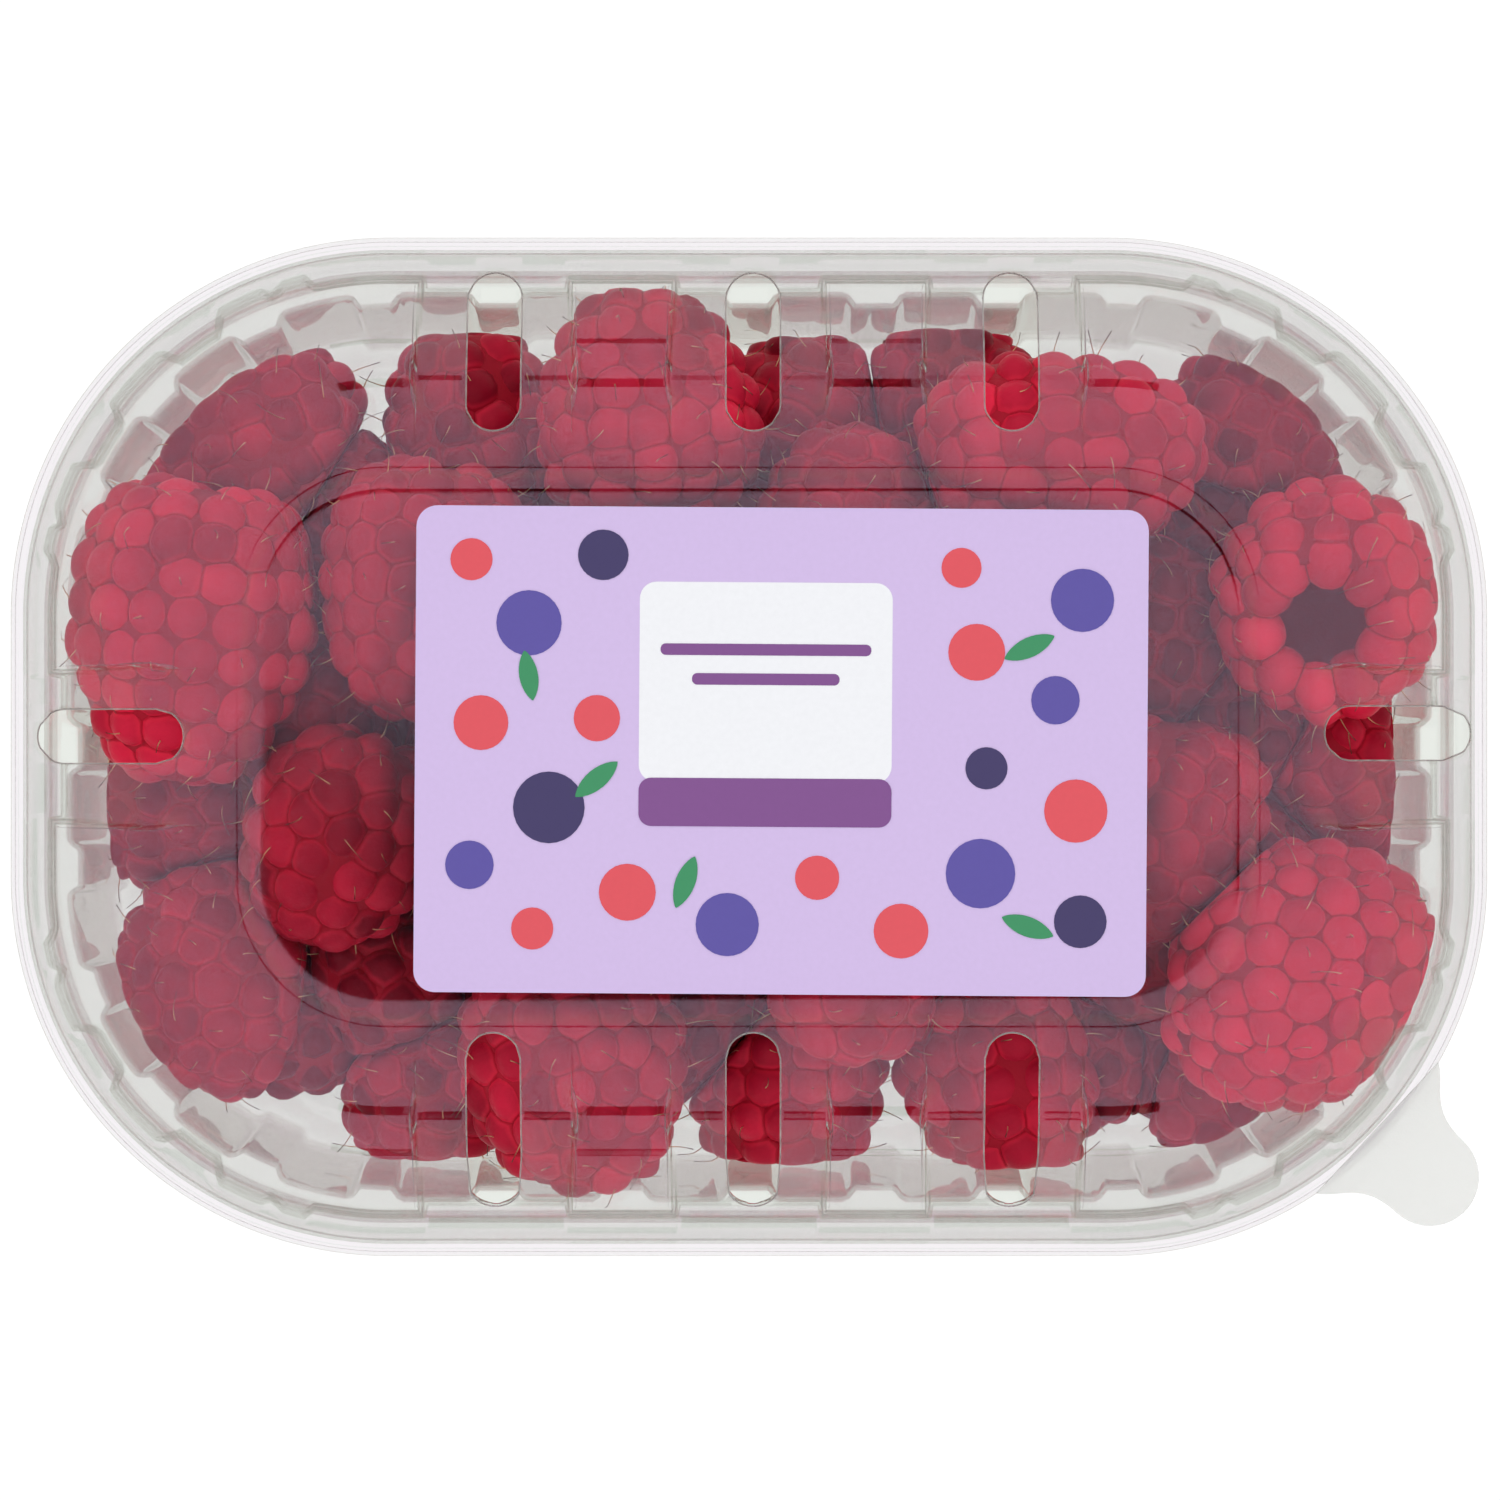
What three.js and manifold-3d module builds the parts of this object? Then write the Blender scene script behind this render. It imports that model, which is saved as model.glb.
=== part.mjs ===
// A clear plastic punnet of raspberries: a ribbed tray, a clipped-on vented lid, a paper label
// and the heap of berries. Millimetres, +Z up, origin under the middle of the base.
// X is the pack's length, and the lid's pull tab points to +X and -Y.
import * as THREE from "three";
import { mergeVertices } from "three/addons/utils/BufferGeometryUtils.js";
import Module from "manifold-3d";

const wasm = await Module();
wasm.setup();

// Driving dimensions of the pack
const LENGTH = 142;
const WIDTH = 98;
const CORNER = 36.5; // radius of the rim's corners, seen from above
const SHEET = 0.5; // wall of the formed plastic
const TRAY_RIM = 31; // height of the tray's flange
const LID_TOP = 42; // height of the lid's stacking ridge

// One quarter of the rim, from the middle of a long side to the middle of a short side
const STRAIGHT_X = LENGTH / 2 - CORNER;
const STRAIGHT_Y = WIDTH / 2 - CORNER;
const ARC = (CORNER * Math.PI) / 2;
const QUARTER = STRAIGHT_X + ARC + STRAIGHT_Y;

// The point and the outward direction of the rim at a distance along one quarter.
function quarterPoint(along) {
  if (along <= STRAIGHT_X) return { x: along, y: WIDTH / 2, nx: 0, ny: 1 };
  if (along >= STRAIGHT_X + ARC) {
    return { x: LENGTH / 2, y: QUARTER - along, nx: 1, ny: 0 };
  }
  const angle = (along - STRAIGHT_X) / CORNER;
  const nx = Math.sin(angle);
  const ny = Math.cos(angle);
  return { x: STRAIGHT_X + CORNER * nx, y: STRAIGHT_Y + CORNER * ny, nx, ny };
}

// The point that lies inset from the rim, in any of the four mirrored quarters.
function rimPoint(along, inset, z, quarter) {
  const p = quarterPoint(along);
  const signX = quarter < 2 ? 1 : -1;
  const signY = quarter === 0 || quarter === 3 ? 1 : -1;
  const x = signX * (p.x - p.nx * inset);
  const y = signY * (p.y - p.ny * inset);
  return new THREE.Vector3(x, y, z);
}

// One closed ring of points: each station says where it is along the quarter, and rowAt gives
// the inset, the height and a shift along the rim.
function ring(stations, rowAt) {
  const points = [];
  for (let quarter = 0; quarter < 4; quarter++) {
    const ordered = quarter % 2 ? [...stations].reverse() : stations;
    for (const station of ordered) {
      const { inset, z, shift = 0 } = rowAt(station);
      points.push(rimPoint(station.along + shift, inset, z, quarter));
    }
  }
  return points;
}

// A solid from indexed triangles, turned the right way round.
function solidFrom(points, faces) {
  const geometry = new THREE.BufferGeometry().setFromPoints(points);
  geometry.setIndex(faces.flat());
  return solidOf(geometry);
}

// A closed geometry as a manifold-3d solid.
function solidOf(geometry) {
  const bare = geometry.clone();
  bare.deleteAttribute("normal");
  bare.deleteAttribute("uv");
  const merged = mergeVertices(bare, 1e-4);
  const vertProperties = merged.attributes.position.array;
  const triVerts = new Uint32Array(merged.index.array);
  const made = new wasm.Manifold(new wasm.Mesh({ numProp: 3, vertProperties, triVerts }));
  if (made.volume() > 0) return made;
  for (let i = 0; i < triVerts.length; i += 3) {
    [triVerts[i + 1], triVerts[i + 2]] = [triVerts[i + 2], triVerts[i + 1]];
  }
  return new wasm.Manifold(new wasm.Mesh({ numProp: 3, vertProperties, triVerts }));
}

// Rings of equal length joined into one closed skin, with a flat fan inside the first and last.
function skinOf(rings) {
  const count = rings[0].length;
  const points = rings.flat();
  const faces = [];
  for (let r = 0; r + 1 < rings.length; r++) {
    for (let i = 0; i < count; i++) {
      const a = r * count + i;
      const b = r * count + ((i + 1) % count);
      faces.push([a, b, b + count], [a, b + count, a + count]);
    }
  }
  const first = points.push(new THREE.Vector3(0, 0, rings[0][0].z)) - 1;
  const last = points.push(new THREE.Vector3(0, 0, rings.at(-1)[0].z)) - 1;
  const end = (rings.length - 1) * count;
  for (let i = 0; i < count; i++) {
    const next = (i + 1) % count;
    faces.push([first, next, i], [last, end + i, end + next]);
  }
  return solidFrom(points, faces);
}

// Tray: ribs that stand inwards from the wall, a step below the rim, and a flange
const RIB_DEPTH = 1.1;
const RIB_FACE = 1.9; // half the width of a rib's inner face
const RIB_FOOT = 3.1; // half the width of a rib where it leaves the wall
const RIB_PITCH = 12.15; // along the straight sides
const RIB_ANGLES = [25, 47, 69]; // on each corner, from the long side
const CORNER_SPREAD = 1.15; // a corner rib's width at the rim, against that at its own radius

function trayStations() {
  const centres = [0, 1, 2, 3].map((i) => ({ at: i * RIB_PITCH, spread: 1 }));
  for (const degrees of RIB_ANGLES) {
    const at = STRAIGHT_X + CORNER * THREE.MathUtils.degToRad(degrees);
    centres.push({ at, spread: CORNER_SPREAD });
  }
  centres.push({ at: QUARTER - RIB_PITCH + 0.3, spread: 1 }, { at: QUARTER, spread: 1 });
  const stations = [];
  for (const { at, spread } of centres) {
    for (const side of [-RIB_FOOT, -RIB_FACE, RIB_FACE, RIB_FOOT]) {
      const along = at + side * spread;
      const rib = Math.abs(side) === RIB_FACE ? 1 : 0;
      if (along > 0 && along < QUARTER) stations.push({ along, rib });
    }
  }
  return stations;
}

// Each row is the inset from the rim, the height, and how much of the rib's depth shows there.
function makeTray() {
  const top = TRAY_RIM;
  const inside = [
    [9.9, SHEET, 0],
    [8.9, 1.7, 0.7],
    [5.4, top - 5, 1],
    [4.3, top - 4.4, 0],
    [3.7, top, 0],
    [1.3, top, 0],
  ];
  const outside = [
    [1.3, top - SHEET, 0],
    [3.2, top - SHEET, 0],
    [3.8, top - 4.4 - SHEET, 0],
    [4.9, top - 5 - SHEET, 1],
    [8.4, 1.4, 0.7],
    [9.6, 0, 0],
  ];
  const stations = trayStations();
  const rows = [...inside, ...outside];
  return skinOf(
    rows.map(([inset, z, share]) =>
      ring(stations, (s) => ({ inset: inset + RIB_DEPTH * share * s.rib, z })),
    ),
  );
}

// Lid: scoops that carry the slots, ribs between the scoops, and scallops in the corners
const SLOT_PITCH = 24.25; // from slot to slot along a long side
const SCOOP_EDGE = 6.7; // half the width of a scoop at its foot
const RIB_WIDTH = 11.5; // of the ribs next to the corners, along the rim
const SPREAD = 0.9; // a scoop's sides spread apart by this much on the way up
const STEP = 0.15; // half the thickness of a side wall's top edge
const EASE = 0.5; // half the length of a scallop's shoulder
const SCALLOPS = [
  { kind: "bulge", width: 4.4 },
  { kind: "notch", width: 0.4 },
  { kind: "bulge", width: 6.6 },
  { kind: "valley", width: 6.1 },
  { kind: "bulge", width: 8.8 },
  { kind: "valley", width: 6.1 },
  { kind: "bulge", width: 6.6 },
  { kind: "notch", width: 0.4 },
  { kind: "bulge", width: 4.4 },
];

// A scoop's edge: rib and scoop stand close together, and both lean over the rib.
function scoopEdge(along, towards) {
  const scoop = { along: along - towards * STEP, kind: "scoop", lean: towards };
  const rib = { along: along + towards * STEP, kind: "rib", lean: towards };
  return towards > 0 ? [scoop, rib] : [rib, scoop];
}

// The scallops' ends on one corner: each stretch starts and stops a little inside its length.
function scallopStations(from, to) {
  const given = SCALLOPS.reduce((sum, { width }) => sum + width, 0);
  const scale = (to - from) / given;
  const stations = [];
  let along = from;
  for (const { kind, width } of SCALLOPS) {
    const end = along + width * scale;
    if (kind === "notch") stations.push({ along: (along + end) / 2, kind });
    else stations.push({ along: along + EASE, kind }, { along: end - EASE, kind });
    along = end;
  }
  return stations;
}

function lidStations() {
  const outer = SLOT_PITCH + SCOOP_EDGE;
  const side = QUARTER - SCOOP_EDGE;
  return [
    ...scoopEdge(SCOOP_EDGE, 1),
    ...scoopEdge(SLOT_PITCH - SCOOP_EDGE, -1),
    ...scoopEdge(outer, 1),
    { along: STRAIGHT_X, kind: "rib" },
    { along: STRAIGHT_X + ARC / 12, kind: "rib" },
    ...scallopStations(outer + RIB_WIDTH, side - RIB_WIDTH),
    { along: STRAIGHT_X + ARC, kind: "rib" },
    ...scoopEdge(side, -1),
  ];
}

// The lid's upper face, as rows of inset and height for each kind of place along the rim
const FLANGE_TOP = TRAY_RIM + 0.3 + SHEET;
const FOOT = { rib: 3.6, bulge: 2.5, valley: 4.3, notch: 3.4, scoop: 4.8 };
const SHOULDER = {
  rib: [4.6, 36],
  bulge: [3.9, 35],
  valley: [5.4, 35],
  notch: [4.6, 35],
  scoop: [5.6, 33.8],
};
const CREASE = { rib: [10.3, 39.6], scoop: [11.5, 38] };
const CROWN = { rib: [14.7, 40.9], scoop: [16.6, 40.8] };
const RIDGE = [22.3, LID_TOP];
const PANEL = [24.4, LID_TOP - 1.1];

// A row by its places: the corners share the ribs' upper rows, and scoops spread there.
function lidRow(places, out, down, spread = 0) {
  return (s) => {
    const [inset, z] = Array.isArray(places) ? places : (places[s.kind] ?? places.rib);
    return { inset: inset + out, z: z - down, shift: (s.lean ?? 0) * spread };
  };
}

function makeLid() {
  const stations = lidStations();
  const foot = {};
  for (const [kind, inset] of Object.entries(FOOT)) foot[kind] = [inset, FLANGE_TOP];
  const upper = [
    lidRow([0, TRAY_RIM - 1.8], 0, 0),
    lidRow([0.2, FLANGE_TOP], 0, 0),
    lidRow(foot, 0, 0),
    lidRow(SHOULDER, 0, 0, SPREAD / 2),
    lidRow(CREASE, 0, 0, SPREAD),
    lidRow(CROWN, 0, 0, SPREAD),
    lidRow(RIDGE, 0, 0),
    lidRow(PANEL, 0, 0),
  ];
  const lower = [
    lidRow([0.5, TRAY_RIM - 1.8], 0, 0),
    lidRow([0.7, FLANGE_TOP - SHEET], 0, 0),
    lidRow(foot, 0.3, SHEET),
    lidRow(SHOULDER, 0.45, 0.35, SPREAD / 2),
    lidRow(CREASE, 0.2, SHEET, SPREAD),
    lidRow(CROWN, 0, SHEET, SPREAD),
    lidRow(PANEL, 0, SHEET),
  ];
  const shell = skinOf([...lower.reverse(), ...upper].map((row) => ring(stations, row)));
  return slotCutters()
    .reduce((lid, cutter) => lid.subtract(cutter), shell)
    .add(makeTab());
}

// Slots: upright stadium holes, three on each long side and one on each short side
const SLOT_WIDTH = 5.2;
const SLOT_INSET = [4, 18.9];
const ARC_STEPS = 5; // faces round each end

function slotShape(length) {
  const radius = SLOT_WIDTH / 2;
  const reach = length / 2 - radius;
  const shape = new THREE.Shape();
  shape.absarc(0, reach, radius, 0, Math.PI);
  shape.absarc(0, -reach, radius, Math.PI, 2 * Math.PI);
  return shape;
}

function upright(shape, from, to, segments) {
  const settings = { depth: to - from, bevelEnabled: false, curveSegments: segments };
  return new THREE.ExtrudeGeometry(shape, settings).translate(0, 0, from);
}

function slotCutters() {
  const length = SLOT_INSET[1] - SLOT_INSET[0];
  const middle = (SLOT_INSET[0] + SLOT_INSET[1]) / 2;
  const cutters = [];
  const cut = (x, y, turn) => {
    const block = upright(slotShape(length), TRAY_RIM, LID_TOP + 2, ARC_STEPS);
    cutters.push(solidOf(block.rotateZ(turn).translate(x, y, 0)));
  };
  for (const side of [-1, 1]) {
    for (const i of [-1, 0, 1]) cut(i * SLOT_PITCH, side * (WIDTH / 2 - middle), 0);
    cut(side * (LENGTH / 2 - middle), 0, Math.PI / 2);
  }
  return cutters;
}

// Pull tab: a round lobe on a flared root, past the corner of the flange
const TAB_ANGLE = -43; // from +X, about the corner's centre
const TAB_REACH = 42.2; // from the corner's centre to the lobe's centre
const TAB_RADIUS = 4.7;
const TAB_ROOT = 8.6; // half the width of the root

function makeTab() {
  const start = CORNER - 2;
  const shape = new THREE.Shape();
  shape.moveTo(start, -TAB_ROOT);
  shape.bezierCurveTo(CORNER + 1, -TAB_ROOT, CORNER + 2.2, -TAB_RADIUS, TAB_REACH, -TAB_RADIUS);
  shape.absarc(TAB_REACH, 0, TAB_RADIUS, -Math.PI / 2, Math.PI / 2);
  shape.bezierCurveTo(CORNER + 2.2, TAB_RADIUS, CORNER + 1, TAB_ROOT, start, TAB_ROOT);
  const plate = upright(shape, FLANGE_TOP - SHEET, FLANGE_TOP, ARC_STEPS);
  plate.rotateZ(THREE.MathUtils.degToRad(TAB_ANGLE));
  return solidOf(plate.translate(STRAIGHT_X, -STRAIGHT_Y, 0));
}

// Label: a paper rectangle with rounded corners, stuck a little off centre
const LABEL = { width: 69.5, height: 46.2, radius: 2, x: 3.05, y: -0.4, turn: -0.4 };
const LABEL_THICKNESS = 0.25;
const LABEL_GAP = 0.1;

function makeLabel() {
  const { width, height, radius, x, y, turn } = LABEL;
  const reachX = width / 2 - radius;
  const reachY = height / 2 - radius;
  const shape = new THREE.Shape();
  shape.absarc(reachX, reachY, radius, 0, Math.PI / 2);
  shape.absarc(-reachX, reachY, radius, Math.PI / 2, Math.PI);
  shape.absarc(-reachX, -reachY, radius, Math.PI, 1.5 * Math.PI);
  shape.absarc(reachX, -reachY, radius, 1.5 * Math.PI, 2 * Math.PI);
  const from = PANEL[1] + LABEL_GAP;
  const paper = upright(shape, from, from + LABEL_THICKNESS, ARC_STEPS);
  return solidOf(paper.rotateZ(THREE.MathUtils.degToRad(turn)).translate(x, y, 0));
}

// Berries: where each one's middle lies, its length and width, where its tip points, seen from
// above, and how far the tip is lifted. The first ones show through the lid, the next lie under
// the label, and the last are the lower layer, which shows through the tray.
const BERRIES = [
  { at: [-54, 11.2, 24.5], size: [31, 25.5], heading: 262, lift: -4 },
  { at: [-48.5, 28.5, 12.5], size: [25, 20.5], heading: 200, lift: -8 },
  { at: [-27, 31, 13], size: [22, 19.5], heading: 100, lift: 10 },
  { at: [-9.8, 32.8, 26.5], size: [25, 22], heading: 95, lift: -8 },
  { at: [5, 31.5, 11], size: [22, 19.5], heading: 60, lift: -10 },
  { at: [19.5, 34, 11.5], size: [21, 19], heading: 90, lift: 10 },
  { at: [30, 28, 27.5], size: [29, 21.5], heading: 5, lift: 0 },
  { at: [50, 31, 12], size: [23, 20.5], heading: 60, lift: -15 },
  { at: [56.2, 15, 24], size: [24, 23.5], heading: 72, lift: -66 },
  { at: [-31.5, 15, 26.5], size: [26, 21], heading: 262, lift: 4 },
  { at: [-39.5, -9, 23.5], size: [23, 20.5], heading: 245, lift: -6 },
  { at: [-52, -22.3, 15], size: [25, 22], heading: 80, lift: 8 },
  { at: [-56.5, -5, 10.5], size: [22, 20], heading: 175, lift: 0 },
  { at: [-31.5, -32.5, 11], size: [22, 19.5], heading: 260, lift: -10 },
  { at: [-16.9, -31.8, 24], size: [25.5, 22.5], heading: 278, lift: -6 },
  { at: [3.5, -33.5, 11.5], size: [22.5, 20.5], heading: 270, lift: -8 },
  { at: [10, -19.8, 27.5], size: [23, 20], heading: 268, lift: 4 },
  { at: [25, -32, 14], size: [24.5, 21.5], heading: 280, lift: 10 },
  { at: [54, -21.8, 25], size: [29, 27], heading: 3, lift: -4 },
  { at: [47, -31.5, 10.5], size: [21, 18.5], heading: 250, lift: 5 },
  { at: [40.5, -8, 24], size: [23, 20], heading: 265, lift: 0 },
  { at: [58, -2.5, 11.5], size: [22, 20], heading: 300, lift: -10 },
  { at: [39.5, 10.5, 14.5], size: [23, 21], heading: 80, lift: 0 },
  { at: [9.8, 20.5, 27], size: [22.5, 20], heading: 85, lift: 0 },
  { at: [-11.5, 9.5, 27], size: [23, 20.5], heading: 30, lift: 0 },
  { at: [7.5, 1.5, 28], size: [22.5, 20], heading: 150, lift: 5 },
  { at: [26.5, 7.5, 27], size: [23, 20.5], heading: 330, lift: 0 },
  { at: [-21.5, -10, 25.5], size: [24, 21], heading: 200, lift: 0 },
  { at: [25.5, -10, 26], size: [23, 20.5], heading: 100, lift: 0 },
  { at: [-4.5, -13.5, 17.5], size: [22, 20], heading: 20, lift: 0 },
  { at: [-45, 14.5, 10], size: [20.5, 18.5], heading: 120, lift: 0 },
  { at: [-26.5, 4, 10], size: [21, 19], heading: 340, lift: 0 },
  { at: [-29.5, -15, 10], size: [21, 19], heading: 60, lift: 0 },
  { at: [-13, 22.5, 10], size: [21.5, 19], heading: 180, lift: 0 },
  { at: [-7.5, 3, 10.5], size: [21, 19.5], heading: 80, lift: 0 },
  { at: [-17, -23, 10], size: [21, 19], heading: 150, lift: 0 },
  { at: [14.5, 14.5, 10.5], size: [21.5, 19.5], heading: 220, lift: 0 },
  { at: [13, -9.5, 10.5], size: [21.5, 19.5], heading: 10, lift: 0 },
  { at: [34.5, -9.5, 10], size: [21, 19], heading: 130, lift: 0 },
  { at: [-43, -25.5, 10], size: [20.5, 18.5], heading: 5, lift: 0 },
  { at: [33, -28.5, 10], size: [19.5, 18], heading: 310, lift: 0 },
];

// The hollow that the berries lie in, as a section: inset from the rim, height. Its lowest
// corner is the foot of the wall, and its highest face the underside of the lid.
const ROOM = [
  [70, 0.8],
  [11.3, 0.8],
  [10.3, 1.9],
  [7.2, TRAY_RIM - 5.3],
  [5.1, TRAY_RIM - 3.8],
  [5.6, TRAY_RIM],
  [6.5, 32.8],
  [12, 37.1],
  [17, 39.8],
  [70, 39.8],
];

function tipOf({ heading, lift }) {
  const turn = THREE.MathUtils.degToRad(heading);
  const rise = THREE.MathUtils.degToRad(lift);
  const flat = Math.cos(rise);
  return new THREE.Vector3(flat * Math.cos(turn), flat * Math.sin(turn), Math.sin(rise));
}

// A berry's outline: half a wave from the hollow base to the tip, narrower towards the tip.
const SHOWN = 24; // the first berries of the list
const FINE = { rows: 5, round: 6 }; // rows of drupelets and drupelets in each row
const COARSE = { rows: 4, round: 4 };
const VALLEY = 0.87; // a valley's radius against a drupelet's top
const TWIST = 0.7; // from one berry of the list to the next, about its own axis

function outlineAt(share, length, width) {
  const angle = Math.PI * share;
  const height = -Math.cos(angle) / 2;
  const radius = (width / 2) * Math.sin(angle) ** 0.72 * (1.03 - 0.3 * (height + 0.1));
  return { z: height * length, radius };
}

// One berry along +Z. Tops and valleys take turns round each row and from row to row, and the
// shorter diagonal joins valley to valley, so that each drupelet is a small pyramid.
function berryShape([length, width], { rows, round }, turn) {
  const columns = round * 2;
  const points = [];
  for (let row = 0; row < rows; row++) {
    const { z, radius } = outlineAt((row + 0.6) / (rows + 0.1), length, width);
    for (let i = 0; i < columns; i++) {
      const angle = turn + (i / columns) * 2 * Math.PI;
      const size = (i + row) % 2 ? VALLEY : 1;
      const x = radius * size * Math.cos(angle);
      const y = radius * size * Math.sin(angle);
      points.push(new THREE.Vector3(x, y, z * size));
    }
  }
  const faces = [];
  const at = (row, i) => row * columns + (i % columns);
  for (let row = 0; row + 1 < rows; row++) {
    for (let i = 0; i < columns; i++) {
      const [a, b, c, d] = [at(row, i), at(row, i + 1), at(row + 1, i + 1), at(row + 1, i)];
      if ((i + row) % 2) faces.push([a, b, c], [a, c, d]);
      else faces.push([a, b, d], [b, c, d]);
    }
  }
  const base = points.push(new THREE.Vector3(0, 0, -length * 0.12)) - 1;
  const tip = points.push(new THREE.Vector3(0, 0, length * 0.49)) - 1;
  for (let i = 0; i < columns; i++) {
    faces.push([base, at(0, i + 1), at(0, i)]);
    faces.push([tip, at(rows - 1, i), at(rows - 1, i + 1)]);
  }
  return { points, faces };
}

function placedBerry(berry, index) {
  const { points, faces } = berryShape(berry.size, index < SHOWN ? FINE : COARSE, index * TWIST);
  const turn = new THREE.Quaternion();
  turn.setFromUnitVectors(new THREE.Vector3(0, 0, 1), tipOf(berry));
  const centre = new THREE.Vector3(...berry.at);
  const moved = points.map((p) => p.applyQuaternion(turn).add(centre));
  return solidFrom(moved, faces);
}

// The heap: a plain core with every berry fused on, cut back to the room it has.
const CORE = [
  [21, 7],
  [17, 11],
  [17, 17],
  [21, 21],
];
const ROOM_STATIONS = 6; // on each quarter

function smoothStations() {
  const stations = [{ along: STRAIGHT_X }];
  for (let i = 1; i < ROOM_STATIONS; i++) {
    stations.push({ along: STRAIGHT_X + (ARC * i) / ROOM_STATIONS });
  }
  stations.push({ along: STRAIGHT_X + ARC });
  return stations;
}

function blockOf(rows) {
  const stations = smoothStations();
  return skinOf(rows.map(([inset, z]) => ring(stations, () => ({ inset, z }))));
}

function makeBerries() {
  const core = blockOf(CORE);
  const heap = BERRIES.reduce((sum, berry, i) => sum.add(placedBerry(berry, i)), core);
  const room = blockOf(ROOM.slice(1, -1));
  return withoutVoids(heap.intersect(room));
}

// The outer skin alone: gaps shut in between berries are filled.
function withoutVoids(solid) {
  const skins = solid.decompose();
  return skins.reduce((best, skin) => (skin.volume() > best.volume() ? skin : best));
}

// The pieces as named meshes
const CLEAR = { color: 0xeef1f0, roughness: 0.12, metalness: 0, transparent: true, opacity: 0.3 };

function mesh(name, solid, material) {
  const { vertProperties, triVerts } = solid.getMesh();
  const geometry = new THREE.BufferGeometry();
  geometry.setAttribute("position", new THREE.BufferAttribute(vertProperties, 3));
  geometry.setIndex(new THREE.BufferAttribute(triVerts, 1));
  geometry.computeVertexNormals();
  const piece = new THREE.Mesh(geometry, material);
  piece.name = name;
  return piece;
}

const punnet = new THREE.Group();
punnet.add(
  mesh("tray", makeTray(), new THREE.MeshStandardMaterial(CLEAR)),
  mesh("lid", makeLid(), new THREE.MeshStandardMaterial(CLEAR)),
  mesh(
    "label",
    makeLabel(),
    new THREE.MeshStandardMaterial({ color: 0xd4bfe6, roughness: 0.5, metalness: 0 }),
  ),
  mesh(
    "raspberries",
    makeBerries(),
    new THREE.MeshStandardMaterial({ color: 0x9c1430, roughness: 0.45, metalness: 0 }),
  ),
);

export default punnet;
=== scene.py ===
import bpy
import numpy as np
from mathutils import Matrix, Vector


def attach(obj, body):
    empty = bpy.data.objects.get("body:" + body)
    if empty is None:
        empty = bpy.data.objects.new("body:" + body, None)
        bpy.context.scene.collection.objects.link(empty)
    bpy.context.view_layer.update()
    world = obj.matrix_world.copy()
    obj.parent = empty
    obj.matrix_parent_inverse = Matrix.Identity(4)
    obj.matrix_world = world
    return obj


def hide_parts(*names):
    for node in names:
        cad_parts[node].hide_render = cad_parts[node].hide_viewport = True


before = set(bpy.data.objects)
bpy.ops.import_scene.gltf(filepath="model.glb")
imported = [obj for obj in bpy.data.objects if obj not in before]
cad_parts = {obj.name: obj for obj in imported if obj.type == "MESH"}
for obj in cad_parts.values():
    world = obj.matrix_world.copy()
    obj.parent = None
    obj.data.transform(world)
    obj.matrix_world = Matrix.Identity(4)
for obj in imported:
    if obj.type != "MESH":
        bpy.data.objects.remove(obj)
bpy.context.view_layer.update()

# %% [markdown]
# # A clear punnet of raspberries
#
# The frame gives the real sizes: a ribbed tray, a vented lid that is clipped onto it, a paper
# label on the lid and a heap of berries. The CAD solids are coarse, so each of them is replaced
# here by a finer piece that stands in the same place. Lengths are worked out in millimetres, in
# the frame of the CAD model, and turned into metres when a mesh is made.

MM = 0.001
scene = bpy.context.scene

# %% [markdown]
# ## Helpers for meshes and for material nodes
#
# Every surface below is an array of points and an array of faces. Such arrays are quick to make
# and to move in one step, which a heap of several thousand drupelets needs.


# %% Helpers for meshes
def join_parts(parts):
    """Stack several (points, faces) pairs: each one's face numbers are raised by the number of
    points before it, and the -1 fillers stay."""
    starts = np.cumsum([0] + [len(points) for points, _ in parts[:-1]])
    points = np.concatenate([points for points, _ in parts])
    faces = [np.where(faces >= 0, faces + start, -1) for (_, faces), start in zip(parts, starts)]
    return points, np.concatenate(faces)


def new_piece(name, points, faces, material, slot, node, smooth=True):
    """Make a mesh object from points in millimetres, and hide the CAD part that it stands for. A
    face is a row of point numbers, and -1 fills up a row that has fewer of them."""
    mesh = bpy.data.meshes.new(name)
    used = faces >= 0
    sizes = used.sum(axis=1)
    mesh.vertices.add(len(points))
    mesh.vertices.foreach_set("co", (points * MM).ravel())
    mesh.loops.add(int(sizes.sum()))
    mesh.loops.foreach_set("vertex_index", faces[used])
    mesh.polygons.add(len(faces))
    mesh.polygons.foreach_set("loop_start", np.cumsum(sizes) - sizes)
    mesh.polygons.foreach_set("use_smooth", np.full(len(faces), smooth))
    mesh.materials.append(material)
    mesh.update(calc_edges=True)
    mesh.validate()
    piece = bpy.data.objects.new(name, mesh)
    scene.collection.objects.link(piece)
    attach(piece, "root")
    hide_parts(node)
    print(f"{name}: {len(mesh.vertices)} points, {len(mesh.polygons)} faces")
    return piece


def grid_faces(rows, columns, closed=True):
    """Quads between neighbouring rows and columns of a grid of points; closed joins the last
    column to the first."""
    r = np.arange(rows - 1)[:, None]
    c = np.arange(columns if closed else columns - 1)[None, :]
    n = (c + 1) % columns
    corners = [r * columns + c, r * columns + n, (r + 1) * columns + n, (r + 1) * columns + c]
    return np.stack(corners, axis=-1).reshape(-1, 4)


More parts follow.
